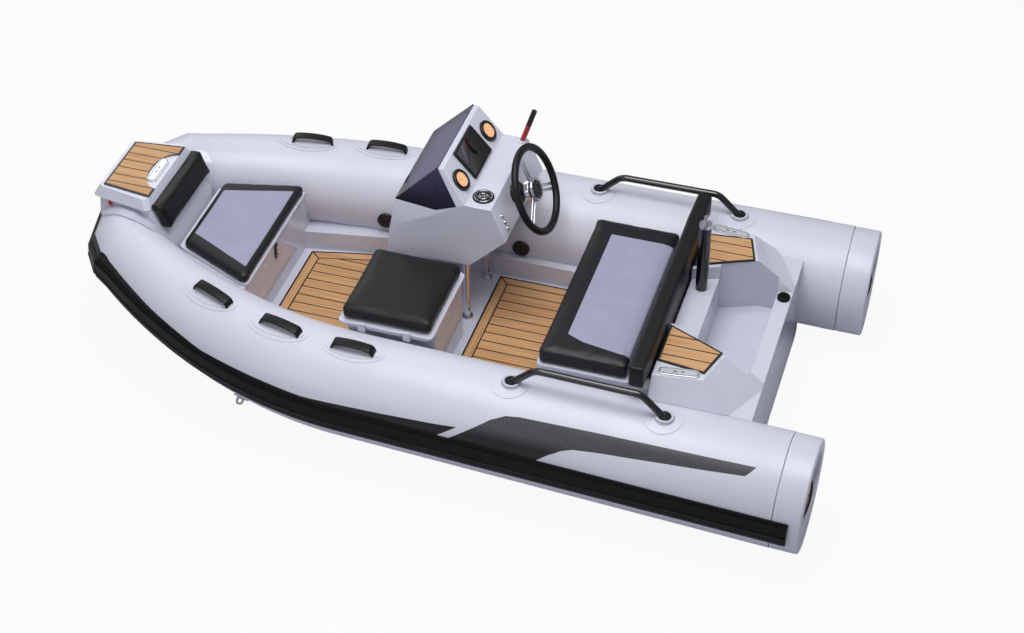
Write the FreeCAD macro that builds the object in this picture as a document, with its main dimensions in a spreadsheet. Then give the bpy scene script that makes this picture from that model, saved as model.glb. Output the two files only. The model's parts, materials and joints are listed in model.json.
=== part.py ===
import FreeCAD, Part
import math
import os
import Sketcher
from FreeCAD import Placement, Rotation, Vector

# A compact rigid inflatable boat with a side console, 3.1 m long.
# X points to the bow, Y to port and Z up. The origin lies on the waterline,
# on the centreline, at the aft face of the transom. All sizes are millimetres.

SIZES = {
    # Inflated tubes
    "tube_aft_x": -270.0,
    "tube_aft_y": 644.0,
    "tube_aft_z": 236.0,
    "tube_aft_radius": 223.0,
    "shoulder_x": 1542.0,
    "shoulder_y": 613.0,
    "shoulder_z": 275.0,
    "shoulder_radius": 204.0,
    "bow_bend_radius": 2170.0,
    "bow_rise": 124.0,
    "bow_taper_power": 1.67,
    "corner_radius": 151.0,
    "corner_lead": 45.0,
    "corner_length": 64.0,
    "corner_degrees": 29.5,
    "front_degrees": 73.0,
    "nose_radius": 121.0,
    "work_reach": 3000.0,
    "tube_gap": 0.3,
    "seat_gap": 0.3,
    # Rub strake round the outside of the tubes
    "strake_height": 112.0,
    "strake_drop": 6.0,
    "strake_depth": 15.0,
    "strake_bead": 4.0,
    "strake_bead_width": 18.0,
    # End caps with a boarding step
    "cap_length": 110.0,
    "cap_inset": 2.5,
    "cap_rim": 45.0,
    "cap_recess": 85.0,
    "cap_dish": 22.0,
    "cap_step_drop": 30.0,
    # Hull
    "keel_z": -160.0,
    "hull_overhang": 70.0,
    "overhang_top_z": -58.0,
    "chine_y": 500.0,
    "chine_z": 5.0,
    "cheek_width": 30.0,
    "cheek_height": 25.0,
    "hull_top_z": 95.0,
    "stem_top_z": 335.0,
    "stem_x": 2745.0,
    # Transom board
    "transom_thickness": 45.0,
    "transom_top_z": 398.0,
    "transom_half_width": 520.0,
    # Cockpit
    "floor_z": 120.0,
    "cockpit_half_width": 380.0,
    "wall_top_z": 212.0,
    "liner_half_width": 430.0,
    "locker_aft_x": 2115.0,
    "pad_thickness": 6.0,
    # Stern moulding with the splash well
    "stern_front_x": 395.0,
    "well_floor_z": 290.0,
    "well_front_x": 290.0,
    "well_aft_x": 62.0,
    "well_half_width": 300.0,
    "well_front_half_width": 240.0,
    "cap_strip_top_z": 410.0,
    "quarter_deck_z": 525.0,
    "quarter_inner_front_y": 170.0,
    "quarter_inner_aft_x": 145.0,
    "quarter_outer_aft_x": 205.0,
    "quarter_outer_aft_y": 455.0,
    "quarter_outer_front_y": 480.0,
    "quarter_skirt_aft_x": 104.0,
    "quarter_skirt_aft_inset": 120.0,
    "quarter_skirt_front_inset": 96.0,
    "bridge_top_z": 470.0,
    # Aft bench
    "bench_aft_x": 397.0,
    "bench_front_x": 830.0,
    "bench_top_z": 405.0,
    "locker_wall": 18.0,
    "bench_lid_aft_x": 484.0,
    "bench_lid_overhang": 30.0,
    "bench_flange_depth": 28.0,
    "bench_hinge_x": 862.0,
    "bench_lid_half_width": 438.0,
    "lid_thickness": 14.0,
    "bench_cushion_height": 70.0,
    "cushion_round": 22.0,
    # Backrest
    "backrest_aft_x": 403.0,
    "backrest_thickness": 68.0,
    "backrest_top_z": 620.0,
    "backrest_wing_z": 516.0,
    "backrest_half_width": 566.0,
    "backrest_foot_half_width": 395.0,
    # Box seat ahead of the helm
    "box_aft_x": 1290.0,
    "box_length": 372.0,
    "box_inner_y": 20.0,
    "box_outer_y": 364.0,
    "box_top_z": 414.0,
    "box_lid_side": 10.0,
    "box_lid_outer_y": 434.0,
    "box_flange_depth": 62.0,
    "box_flange_thickness": 14.0,
    "box_hinge_width": 30.0,
    "box_hinge_radius": 5.0,
    "box_hinge_y": 441.0,
    "box_hinge_z": 440.0,
    "box_cushion_height": 62.0,
    # Bow locker
    "bow_locker_length": 330.0,
    "bow_locker_half_width": 300.0,
    "bow_locker_front_half_width": 205.0,
    "bow_locker_top_z": 392.0,
    "bow_locker_rise": 36.0,
    "bow_lid_aft_half_width": 325.0,
    "bow_well_half_width": 180.0,
    "bow_well_length": 230.0,
    "bow_well_floor_z": 150.0,
    "bow_cushion_aft_half_width": 335.0,
    "bow_cushion_front_half_width": 212.0,
    "bow_cushion_height": 40.0,
    "bow_hinge_x": 2455.0,
    "latch_width": 26.0,
    "latch_height": 62.0,
    "latch_depth": 14.0,
    "latch_drop": 24.0,
    # Bow step
    "step_top_z": 640.0,
    "step_rim": 12.0,
    "step_bevel_z": 601.0,
    "step_bevel_width": 22.0,
    "step_neck_z": 590.0,
    "step_neck_width": 6.0,
    "step_knee_z": 434.0,
    "step_foot_width": 18.0,
    "step_aft_x": 2572.0,
    "step_front_x": 2800.0,
    "step_aft_half_width": 202.0,
    "step_front_half_width": 160.0,
    "step_round": 24.0,
    "step_rake": 94.0,
    "skirt_thickness": 8.0,
    "skirt_front_x": 2786.0,
    "skirt_aft_half_width": 288.0,
    "skirt_front_half_width": 225.0,
    "skirt_round": 60.0,
    "bolster_thickness": 50.0,
    "bolster_half_width": 212.0,
    "bolster_top_z": 625.0,
    "bolster_bottom_z": 517.0,
    # Console
    "console_port_y": -60.0,
    "console_starboard_y": -585.0,
    "console_bottom_z": 410.0,
    "console_front_x": 1645.0,
    "console_front_top_x": 1615.0,
    "console_shelf_z": 650.0,
    "dash_top_x": 1415.0,
    "dash_top_z": 822.0,
    "desk_front_x": 1309.0,
    "desk_aft_x": 1201.0,
    "desk_z": 702.0,
    "console_nose_x": 1136.0,
    "console_nose_z": 560.0,
    "console_low_x": 1288.0,
    "console_lean": 14.0,
    "crease_z": 530.0,
    "facet_width": 26.0,
    "dash_thickness": 22.0,
    "screen_thickness": 5.0,
    "leg_radius": 13.0,
    "leg_foot_radius": 23.4,
    "leg_setback": 19.5,
    "leg_port_y": -78.0,
    "leg_starboard_y": -345.0,
    "display_width": 200.0,
    "display_height": 128.0,
    "gauge_radius": 41.0,
    "gauge_spread": 158.0,
    "fitting_height": 7.0,
    "speaker_radius": 44.0,
    "button_radius": 8.0,
    "lever_length": 170.0,
    "lever_lean": 38.0,
    "lever_radius": 13.0,
    # Steering wheel
    "wheel_y": -300.0,
    "wheel_offset": 96.0,
    "wheel_radius": 157.0,
    "wheel_grip_radius": 14.0,
    "hub_radius": 34.0,
    "hub_length": 34.0,
    "spoke_width": 26.0,
    "spoke_thickness": 6.0,
    "bezel_radius": 45.0,
    "bezel_length": 22.0,
    "shaft_radius": 12.0,
    # Grab rails
    "rail_aft_x": 308.0,
    "rail_front_x": 904.0,
    "rail_height": 88.0,
    "rail_run_in": 92.0,
    "rail_radius": 14.0,
    "rail_bend": 60.0,
    "rail_base_radius": 52.0,
    "rail_base_height": 16.0,
    # Carrying handles
    "handle_first_x": 1533.0,
    "handle_spacing": 318.0,
    "handle_length": 175.0,
    "handle_width": 42.0,
    "handle_rise": 38.0,
    "handle_strap": 9.0,
    "handle_slant": 22.0,
    "handle_foot": 18.0,
    "handle_bend": 26.0,
    "handle_roll": 5.0,
    # Light mast
    "mast_x": 346.0,
    "mast_y": -130.0,
    "mast_top_z": 780.0,
    "mast_radius": 24.0,
    "light_radius": 25.0,
    "light_height": 14.0,
    "light_stem": 34.0,
    # Fittings
    "cleat_length": 150.0,
    "cleat_width": 44.0,
    "cleat_x": 299.0,
    "cleat_y": 452.0,
    "bow_cleat_x": 2610.0,
    "valve_radius": 38.0,
    "valve_aft_x": 1180.0,
    "valve_fore_x": 1800.0,
    "valve_roll": -92.0,
    "valve_height": 10.0,
    "nav_radius": 12.0,
    "nav_x": 2745.0,
    "nav_z": 576.0,
    "eye_x": 1945.0,
    "eye_roll": 134.0,
    "eye_plate_length": 60.0,
    "eye_plate_width": 26.0,
    "eye_plate_thickness": 5.0,
    "eye_hole_radius": 8.0,
    "eye_reach": 34.0,
    "boot_radius": 26.0,
    "boot_height": 14.0,
    "overrun": 60.0,
}

# Shares of the named sizes along the hull: place between the transom and the
# stem, keel rise, chine half-breadth and chine rise towards the stem top.
HULL_STATION_SHARES = [
    (0.000, 0.000, 1.000, 0.000),
    (0.330, 0.000, 0.990, 0.010),
    (0.540, 0.020, 0.930, 0.060),
    (0.720, 0.110, 0.800, 0.220),
    (0.860, 0.340, 0.600, 0.520),
    (0.950, 0.640, 0.420, 0.790),
    (1.000, 0.930, 0.280, 0.970),
]

# Shares of the bend between the shoulder and the bow's corner, where its sections lie.
BEND_STATION_SHARES = [0.0, 0.2, 0.4, 0.6, 0.8, 1.0]

document = FreeCAD.newDocument("BoatModel")
sheet = document.addObject("Spreadsheet::Sheet", "Sizes")


class Size:
    # A named size, or a sum or product of named sizes, with its value beside it.
    def __init__(self, value, text):
        self.value = value
        self.text = text

    def __float__(self):
        return float(self.value)

    def __add__(self, other):
        return Size(self.value + float(other), "(%s + %s)" % (self.text, textOf(other)))

    def __radd__(self, other):
        return self + other

    def __sub__(self, other):
        return Size(self.value - float(other), "(%s - %s)" % (self.text, textOf(other)))

    def __rsub__(self, other):
        return Size(float(other) - self.value, "(%s - %s)" % (textOf(other), self.text))

    def __mul__(self, other):
        return Size(self.value * float(other), "(%s * %s)" % (self.text, textOf(other)))

    def __rmul__(self, other):
        return self * other

    def __truediv__(self, other):
        return Size(self.value / float(other), "(%s / %s)" % (self.text, textOf(other)))

    def __neg__(self):
        return Size(-self.value, "(0 - %s)" % self.text)


def textOf(value):
    return value.text if isinstance(value, Size) else repr(float(value))


class Names:
    # Attributes made from a dictionary, so that sizes read as plain names.
    def __init__(self, entries):
        self.__dict__.update(entries)


def fillSheet():
    for row, (name, value) in enumerate(SIZES.items(), start=1):
        sheet.set("A%d" % row, name)
        sheet.set("B%d" % row, str(value))
        sheet.setAlias("B%d" % row, name)
    document.recompute()


fillSheet()
# n holds the sheet's numbers and b the same sizes as bound expressions.
n = Names({name: float(sheet.get(name)) for name in SIZES})
b = Names({name: Size(float(sheet.get(name)), "Sizes.%s" % name) for name in SIZES})

nodes = []


def keep(item, label):
    item.Label = label
    nodes.append(item)
    return item


def bind(item, path, value):
    item.setExpression(path, textOf(value))


def place(item, base, rotation=None):
    item.Placement = Placement(Vector(*[float(value) for value in base]), rotation or Rotation())
    for axis, value in zip("xyz", base):
        if isinstance(value, Size):
            bind(item, "Placement.Base." + axis, value)


def plain(label, shape):
    item = document.addObject("Part::Feature", label)
    item.Shape = shape
    return item


# Sketches and bodies

PLANES = {"XY": "XY_Plane", "XZ": "XZ_Plane", "YZ": "YZ_Plane"}


def newBody(name):
    return document.addObject("PartDesign::Body", name)


def newSketch(body, plane, offset=0):
    sketch = body.newObject("Sketcher::SketchObject", body.Name + "Sketch")
    feature = next(item for item in body.Origin.OriginFeatures if item.Role == PLANES[plane])
    sketch.AttachmentSupport = [(feature, "")]
    sketch.MapMode = "FlatFace"
    if isinstance(offset, Size):
        bind(sketch, "AttachmentOffset.Base.z", offset)
    return sketch


def pinPoint(sketch, index, across, up):
    for kind, axis, value in (("DistanceX", -2, across), ("DistanceY", -1, up)):
        if isinstance(value, Size):
            number = sketch.addConstraint(Sketcher.Constraint(kind, -1, 1, index, 1, float(value)))
            bind(sketch, "Constraints[%d]" % number, value)
        else:
            sketch.addConstraint(Sketcher.Constraint("PointOnObject", index, 1, axis))


def drawPolygon(sketch, points):
    first = sketch.GeometryCount
    count = len(points)
    for index, start in enumerate(points):
        end = points[(index + 1) % count]
        line = Part.LineSegment(Vector(float(start[0]), float(start[1]), 0),
                                Vector(float(end[0]), float(end[1]), 0))
        sketch.addGeometry(line)
    for index in range(count):
        after = first + (index + 1) % count
        sketch.addConstraint(Sketcher.Constraint("Coincident", first + index, 2, after, 1))
    for index, (across, up) in enumerate(points):
        pinPoint(sketch, first + index, across, up)


def pad(body, sketch, length, reverse=False):
    feature = body.newObject("PartDesign::Pad", body.Name + "Pad")
    feature.Profile = sketch
    feature.Length = float(length)
    bind(feature, "Length", length)
    feature.Reversed = reverse
    document.recompute()
    return feature


def pocket(body, sketch, length, reverse=False):
    feature = body.newObject("PartDesign::Pocket", body.Name + "Pocket")
    feature.Profile = sketch
    feature.Length = float(length)
    bind(feature, "Length", length)
    feature.Reversed = reverse
    document.recompute()
    return feature


def edgesAlong(shape, direction):
    names = []
    for index, edge in enumerate(shape.Edges, start=1):
        if len(edge.Vertexes) != 2 or not isinstance(edge.Curve, Part.Line):
            continue
        line = edge.Vertexes[1].Point - edge.Vertexes[0].Point
        if abs(line.normalize().dot(direction)) > 0.999:
            names.append("Edge%d" % index)
    return names


def fillet(body, base, names, radius):
    feature = body.newObject("PartDesign::Fillet", body.Name + "Fillet")
    feature.Base = (base, names)
    feature.Radius = float(radius)
    bind(feature, "Radius", radius)
    document.recompute()
    return feature


def padded(name, plane, offset, points, length, reverse=False):
    body = newBody(name)
    sketch = newSketch(body, plane, offset)
    drawPolygon(sketch, points)
    pad(body, sketch, length, reverse)
    return body


# Part primitives and booleans

def cylinder(name, radius, height, base, axis=Vector(0, 0, 1)):
    item = document.addObject("Part::Cylinder", name)
    bind(item, "Radius", radius)
    bind(item, "Height", height)
    place(item, base, Rotation(Vector(0, 0, 1), axis))
    return item


def cut(name, base, tool):
    item = document.addObject("Part::Cut", name)
    item.Base = base
    item.Tool = tool
    document.recompute()
    return item


def fuse(name, parts):
    item = document.addObject("Part::MultiFuse", name)
    item.Shapes = parts
    document.recompute()
    return item


def mirrored(name, source):
    item = document.addObject("Part::Mirroring", name)
    item.Source = source
    item.Normal = Vector(0, 1, 0)
    document.recompute()
    return item


def both(name, source):
    # The source and its mirror image as separate solids of one piece.
    item = document.addObject("Part::Compound", name)
    item.Links = [source, mirrored(name + "Twin", source)]
    document.recompute()
    return item


# Tube run: where the centreline lies, which way it heads, how high it is and how fat

def tubeHeading():
    return math.atan2(n.tube_aft_y - n.shoulder_y, n.shoulder_x - n.tube_aft_x)


def bendCentre():
    heading = tubeHeading()
    return (n.shoulder_x - n.bow_bend_radius * math.sin(heading),
            n.shoulder_y - n.bow_bend_radius * math.cos(heading))


def bendEndX():
    return bendCentre()[0] + n.bow_bend_radius * math.sin(math.radians(n.corner_degrees))


def pastShoulder(x):
    # Nothing up to the shoulder, and one where the bend ends at the bow's corner.
    return max(0, (x - n.shoulder_x) / (bendEndX() - n.shoulder_x))


def straightShare(x):
    return (x - n.tube_aft_x) / (n.shoulder_x - n.tube_aft_x)


def tubeRadius(x):
    straight = n.tube_aft_radius + (n.shoulder_radius - n.tube_aft_radius) * min(1, straightShare(x))
    return straight + (n.corner_radius - n.shoulder_radius) * pastShoulder(x) ** n.bow_taper_power


def tubeLevel(x):
    straight = n.tube_aft_z + (n.shoulder_z - n.tube_aft_z) * straightShare(x)
    return straight + n.bow_rise * pastShoulder(x) ** 2


def tubePitch(x, heading):
    slope = (n.shoulder_z - n.tube_aft_z) / (n.shoulder_x - n.tube_aft_x)
    slope += 2 * n.bow_rise * pastShoulder(x) / (bendEndX() - n.shoulder_x)
    return math.atan(slope * math.cos(heading))


def stationAt(x):
    # The section of the port tube at a length along the boat: centre, heading, pitch, radius, stretch.
    heading = tubeHeading()
    y = n.tube_aft_y - math.tan(heading) * (x - n.tube_aft_x)
    if x > n.shoulder_x:
        centre_x, centre_y = bendCentre()
        heading = math.asin((x - centre_x) / n.bow_bend_radius)
        y = centre_y + n.bow_bend_radius * math.cos(heading)
    return Vector(x, y, tubeLevel(x)), heading, tubePitch(x, heading), tubeRadius(x), 1


def bendStations():
    heading = tubeHeading()
    turn = math.radians(n.corner_degrees) - heading
    centre_x = bendCentre()[0]
    return [stationAt(centre_x + n.bow_bend_radius * math.sin(heading + share * turn))
            for share in BEND_STATION_SHARES]


def cornerStations():
    # Past the bend the tube turns in two mitres and crosses the bow to meet its twin on the centreline.
    last = stationAt(bendEndX())
    centre, heading, pitch, radius, stretch = last
    front = math.radians(n.front_degrees)
    middle = (heading + front) / 2
    mitre = 1 / math.cos((front - heading) / 4)
    lead = Vector(math.cos(heading), -math.sin(heading), math.tan(pitch))
    first = centre + lead * n.corner_lead
    second = first + Vector(math.cos(middle), -math.sin(middle), 0) * n.corner_length
    nose = Vector(second.x + second.y / math.tan(front), 0, second.z)
    share = n.corner_length / (n.corner_length + second.y / math.sin(front))
    thinner = radius + (n.nose_radius - radius) * share
    return [last, (first, (heading + middle) / 2, pitch / 2, radius, mitre),
            (second, (middle + front) / 2, 0, thinner, mitre),
            (nose, math.pi / 2, 0, n.nose_radius, 1 / math.sin(front))]


def runTurn(heading, pitch):
    # Turns a piece built along X into the run of the tube.
    yaw = Rotation(Vector(0, 0, 1), -math.degrees(heading))
    return yaw.multiply(Rotation(Vector(0, 1, 0), -math.degrees(pitch)))


def ring(station, profile):
    # A wire across the run for the tube's radius there. On a mitre it is stretched outboard.
    centre, heading, pitch, radius, stretch = station
    wire = profile(radius)
    if stretch > 1:
        matrix = FreeCAD.Matrix()
        matrix.A22 = stretch
        wire = wire.transformGeometry(matrix)
    wire.Placement = Placement(centre, runTurn(heading, pitch))
    return wire


def circleProfile(extra):
    def make(radius):
        circle = Part.Circle(Vector(0, 0, 0), Vector(1, 0, 0), radius + extra)
        circle.XAxis = Vector(0, 1, 0)
        return Part.Wire([circle.toShape()])
    return make


def strakeProfile(radius):
    # A broad flat band on the outboard side, with a rounded bead under its middle.
    inner = radius + n.tube_gap
    shoulder = inner + n.strake_depth / 2
    crest = inner + n.strake_depth - n.strake_bead

    def at(reach, height):
        return Vector(0, math.sqrt(reach * reach - height * height), height)

    top = n.strake_height / 2 - n.strake_drop
    low = top - n.strake_height
    bead_top = -n.strake_drop
    bead_low = bead_top - n.strake_bead_width
    bead_middle = (bead_top + bead_low) / 2
    inside = Part.Arc(at(inner, low), at(inner, -n.strake_drop), at(inner, top)).toShape()
    outline = [at(inner, top), at(shoulder, top), at(crest, top - n.strake_depth), at(crest, bead_top)]
    bead = Part.Arc(at(crest, bead_top), at(crest + n.strake_bead, bead_middle), at(crest, bead_low)).toShape()
    under = [at(crest, bead_low), at(crest, low + n.strake_depth), at(shoulder, low), at(inner, low)]
    return Part.Wire([inside] + Part.makePolygon(outline).Edges + [bead] + Part.makePolygon(under).Edges)


def straightLoft(profile, aft_x):
    stations = [stationAt(aft_x), stationAt(n.shoulder_x)]
    return Part.makeLoft([ring(station, profile) for station in stations], True, True)


def bowLoft(profile):
    curved = Part.makeLoft([ring(station, profile) for station in bendStations()], True, False)
    mitred = Part.makeLoft([ring(station, profile) for station in cornerStations()], True, True)
    return curved.fuse(mitred)


def mirrorShape(shape):
    return shape.mirror(Vector(0, 0, 0), Vector(0, 1, 0))


def soleSolid(shape):
    return max(shape.Solids, key=lambda solid: solid.Volume)


def capFrontX():
    # Where the tube's cloth starts, at the end cap's front face.
    heading = tubeHeading()
    return n.tube_aft_x + n.cap_length * math.cos(heading) * math.cos(tubePitch(n.tube_aft_x, heading))


def makeTubes():
    straight = straightLoft(circleProfile(0), capFrontX())
    bow = bowLoft(circleProfile(0))
    keep(plain("TubePort", soleSolid(straight)), "tube_port")
    keep(plain("TubeStarboard", soleSolid(mirrorShape(straight))), "tube_starboard")
    keep(plain("BowTubePort", soleSolid(bow)), "bow_tube_port")
    keep(plain("BowTubeStarboard", soleSolid(mirrorShape(bow))), "bow_tube_starboard")


def makeTubeSpace():
    # The tubes with their fitting gap, as the tool that shapes all that touches them.
    whole = straightLoft(circleProfile(n.tube_gap), capFrontX() + n.seat_gap)
    port = whole.fuse(bowLoft(circleProfile(n.tube_gap)))
    return plain("TubeSpace", port.fuse(mirrorShape(port)))


def makeStrake():
    port = straightLoft(strakeProfile, n.tube_aft_x + n.cap_rim).fuse(bowLoft(strakeProfile))
    return keep(plain("RubStrake", soleSolid(port.fuse(mirrorShape(port)).removeSplitter())), "rub_strake")


def makeEndCap():
    # A moulded cap on each tube end: a rim, a dished recess and a half-height step.
    ahead = Vector(1, 0, 0)
    radius = b.tube_aft_radius - b.cap_inset
    body = cylinder("CapBody", radius, b.cap_length, (0, 0, 0), ahead)
    recess = document.addObject("Part::Cone", "CapRecess")
    bind(recess, "Radius1", radius - b.cap_rim)
    bind(recess, "Radius2", radius - b.cap_rim - b.cap_dish)
    bind(recess, "Height", b.cap_recess)
    place(recess, (0, 0, 0), Rotation(Vector(0, 0, 1), ahead))
    shell = cut("CapShell", body, recess)
    block = document.addObject("Part::Box", "CapStepBlock")
    bind(block, "Length", b.cap_recess)
    bind(block, "Width", 2 * radius)
    bind(block, "Height", radius)
    place(block, (0, -radius, -b.cap_step_drop - radius))
    step = document.addObject("Part::MultiCommon", "CapStep")
    step.Shapes = [body, block]
    document.recompute()
    cap = fuse("CapWhole", [shell, step])
    heading = tubeHeading()
    place(cap, (b.tube_aft_x, b.tube_aft_y, b.tube_aft_z), runTurn(heading, tubePitch(n.tube_aft_x, heading)))
    document.recompute()
    keep(cap, "tube_end_port")
    keep(mirrored("CapTwin", cap), "tube_end_starboard")


# Hull

def hullSection(x, keel, chine_y, chine_z, top):
    cheek_y = chine_y + n.cheek_width
    cheek_z = chine_z + n.cheek_height
    side = [(0, keel), (chine_y, chine_z), (cheek_y, cheek_z), (cheek_y + n.cheek_width, top)]
    points = [Vector(x, y, z) for y, z in side]
    points += [Vector(x, -y, z) for y, z in reversed(side[1:])]
    return Part.makePolygon(points + [points[0]])


def hullLoft(start_x, top):
    wires = []
    for along, rise, breadth, lift in HULL_STATION_SHARES:
        x = start_x + (n.stem_x - start_x) * along
        keel = n.keel_z + (n.stem_top_z - n.keel_z) * rise
        chine_z = n.chine_z + (n.stem_top_z - n.chine_z) * lift
        wires.append(hullSection(x, keel, n.chine_y * breadth, chine_z, top))
    return Part.makeLoft(wires, True, False)


def makeHull(tubeSpace):
    start = -n.hull_overhang
    body = hullLoft(start, n.stem_top_z + 2 * n.overrun)
    reach = n.work_reach
    deck = Part.makeBox(n.locker_aft_x + n.bow_locker_length + n.hull_overhang + n.overrun, 2 * reach, reach)
    deck.translate(Vector(start - n.overrun, -reach, n.hull_top_z))
    upper = Part.makeBox(2 * reach, 2 * reach, reach)
    upper.translate(Vector(start - n.overrun, -reach, n.stem_top_z))
    notch = Part.makeBox(n.hull_overhang + n.overrun + n.transom_thickness, 2 * reach, reach)
    notch.translate(Vector(start - n.overrun, -reach, n.overhang_top_z))
    shape = body.cut(tubeSpace.Shape).cut(deck).cut(upper).cut(notch)
    keep(plain("HullBottom", soleSolid(shape)), "hull_bottom")


def makeTransom(tubeSpace):
    half = n.transom_half_width
    points = [Vector(0, -half, n.overhang_top_z), Vector(0, half, n.overhang_top_z),
              Vector(0, half, n.transom_top_z), Vector(0, -half, n.transom_top_z)]
    board = Part.Face(Part.makePolygon(points + [points[0]])).extrude(Vector(n.transom_thickness, 0, 0))
    under = hullLoft(-n.hull_overhang, n.transom_top_z + n.overrun)
    keep(plain("Transom", soleSolid(board.common(under).cut(tubeSpace.Shape))), "transom")


# Cockpit and stern mouldings

def makeLiner(tubeSpace):
    body = newBody("Liner")
    sketch = newSketch(body, "XY", b.hull_top_z)
    aft = b.bench_aft_x
    drawPolygon(sketch, [(aft, -b.liner_half_width), (b.locker_aft_x, -b.liner_half_width),
                         (b.locker_aft_x, b.liner_half_width), (aft, b.liner_half_width)])
    pad(body, sketch, b.wall_top_z - b.hull_top_z)
    sketch = newSketch(body, "XY", b.wall_top_z)
    width = b.cockpit_half_width
    drawPolygon(sketch, [(b.bench_aft_x - b.overrun, -width), (b.box_aft_x + b.box_length, -width),
                         (b.locker_aft_x, -b.bow_locker_half_width),
                         (b.locker_aft_x + b.overrun, -b.bow_locker_half_width),
                         (b.locker_aft_x + b.overrun, b.bow_locker_half_width),
                         (b.locker_aft_x, b.bow_locker_half_width),
                         (b.box_aft_x + b.box_length, width), (b.bench_aft_x - b.overrun, width)])
    pocket(body, sketch, b.wall_top_z - b.floor_z)
    keep(cut("DeckLiner", body, tubeSpace), "deck_liner")


def quarterDeck():
    # A raised deck beside the splash well, sloping down to the tube and the transom.
    low_z = n.cap_strip_top_z
    high_z = n.quarter_deck_z
    front = n.stern_front_x
    low = [(front, n.quarter_inner_front_y), (0, n.well_half_width - n.locker_wall),
           (0, n.well_half_width + n.locker_wall), (n.quarter_skirt_aft_x, n.tube_aft_y - n.quarter_skirt_aft_inset),
           (front, n.tube_aft_y - n.quarter_skirt_front_inset)]
    high = [(front, n.quarter_inner_front_y), (n.quarter_inner_aft_x, n.well_half_width - n.locker_wall),
            (n.quarter_inner_aft_x + n.locker_wall, n.well_half_width + n.locker_wall),
            (n.quarter_outer_aft_x, n.quarter_outer_aft_y), (front, n.quarter_outer_front_y)]
    wires = [Part.makePolygon([Vector(x, y, z) for x, y in points + points[:1]])
             for points, z in ((low, low_z), (high, high_z))]
    return Part.makeLoft(wires, True, True)


def makeSternMoulding(tubeSpace):
    front = n.stern_front_x
    width = n.transom_half_width
    base = Part.makeBox(front - n.transom_thickness, 2 * width, n.cap_strip_top_z - n.hull_top_z)
    base.translate(Vector(n.transom_thickness, -width, n.hull_top_z))
    strip = Part.makeBox(front, 2 * width, n.cap_strip_top_z - n.transom_top_z)
    strip.translate(Vector(0, -width, n.transom_top_z))
    bridge = Part.makeBox(front - n.well_front_x, 2 * n.well_half_width, n.bridge_top_z - n.cap_strip_top_z)
    bridge.translate(Vector(n.well_front_x, -n.well_half_width, n.cap_strip_top_z))
    deck = quarterDeck()
    whole = base.fuse([strip, bridge, deck, mirrorShape(deck)])
    well = [(n.well_front_x, -n.well_front_half_width), (n.well_front_x, n.well_front_half_width),
            (n.quarter_inner_aft_x, n.well_half_width), (n.well_aft_x, n.well_half_width),
            (n.well_aft_x, -n.well_half_width), (n.quarter_inner_aft_x, -n.well_half_width)]
    face = Part.Face(Part.makePolygon([Vector(x, y, n.well_floor_z) for x, y in well + well[:1]]))
    space = face.extrude(Vector(0, 0, n.quarter_deck_z))
    shape = whole.cut(space).cut(tubeSpace.Shape)
    keep(plain("SternMoulding", soleSolid(shape)), "stern_moulding")


# Seats and lockers

def makeBench(tubeSpace):
    low = b.cockpit_half_width - b.seat_gap
    waist = b.wall_top_z + b.seat_gap
    body = padded("BenchBase", "YZ", b.bench_aft_x,
                  [(-low, b.floor_z), (low, b.floor_z), (low, waist), (b.liner_half_width, waist),
                   (b.liner_half_width, b.bench_top_z), (-b.liner_half_width, b.bench_top_z),
                   (-b.liner_half_width, waist), (-low, waist)], b.bench_front_x - b.bench_aft_x)
    sketch = newSketch(body, "XY", b.bench_top_z)
    inner = b.cockpit_half_width - b.overrun
    aft = b.bench_lid_aft_x + b.locker_wall
    front = b.bench_front_x - b.locker_wall
    drawPolygon(sketch, [(aft, -inner), (front, -inner), (front, inner), (aft, inner)])
    pocket(body, sketch, b.bench_top_z - b.floor_z - b.locker_wall)
    sketch = newSketch(body, "XY", b.bench_top_z)
    front = b.bench_front_x - b.locker_wall
    flange = b.bench_front_x + b.bench_flange_depth
    half = b.liner_half_width
    drawPolygon(sketch, [(front, -half), (flange, -half), (flange, half), (front, half)])
    pad(body, sketch, b.lid_thickness, True)
    trimmed = cut("BenchTrimmed", body, tubeSpace)
    keep(trimmed, "bench_base")
    half = b.bench_lid_half_width
    front = b.bench_front_x + b.bench_lid_overhang
    outline = [(b.bench_lid_aft_x, -half), (front, -half), (front, half), (b.bench_lid_aft_x, half)]
    lid = padded("BenchLid", "XY", b.bench_top_z + b.seat_gap, outline, b.lid_thickness)
    fillet(lid, lid.Tip, edgesAlong(lid.Tip.Shape, Vector(0, 0, 1)), b.cushion_round)
    keep(lid, "bench_lid")
    grow = b.pad_thickness
    outline = [(b.bench_lid_aft_x + grow, -half - grow), (front + grow, -half - grow),
               (front + grow, half + grow), (b.bench_lid_aft_x + grow, half + grow)]
    cushion = padded("BenchCushion", "XY", b.bench_top_z + b.lid_thickness + 2 * b.seat_gap, outline,
                     b.bench_cushion_height)
    softEdges(cushion)
    keep(cushion, "bench_cushion")


def softEdges(body):
    upright = edgesAlong(body.Tip.Shape, Vector(0, 0, 1))
    rounded = fillet(body, body.Tip, upright, b.cushion_round)
    top = max(vertex.Z for vertex in rounded.Shape.Vertexes)
    names = []
    for index, edge in enumerate(rounded.Shape.Edges, start=1):
        if all(abs(vertex.Z - top) < n.tube_gap for vertex in edge.Vertexes):
            names.append("Edge%d" % index)
    fillet(body, rounded, names, b.cushion_round / 2)


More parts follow.
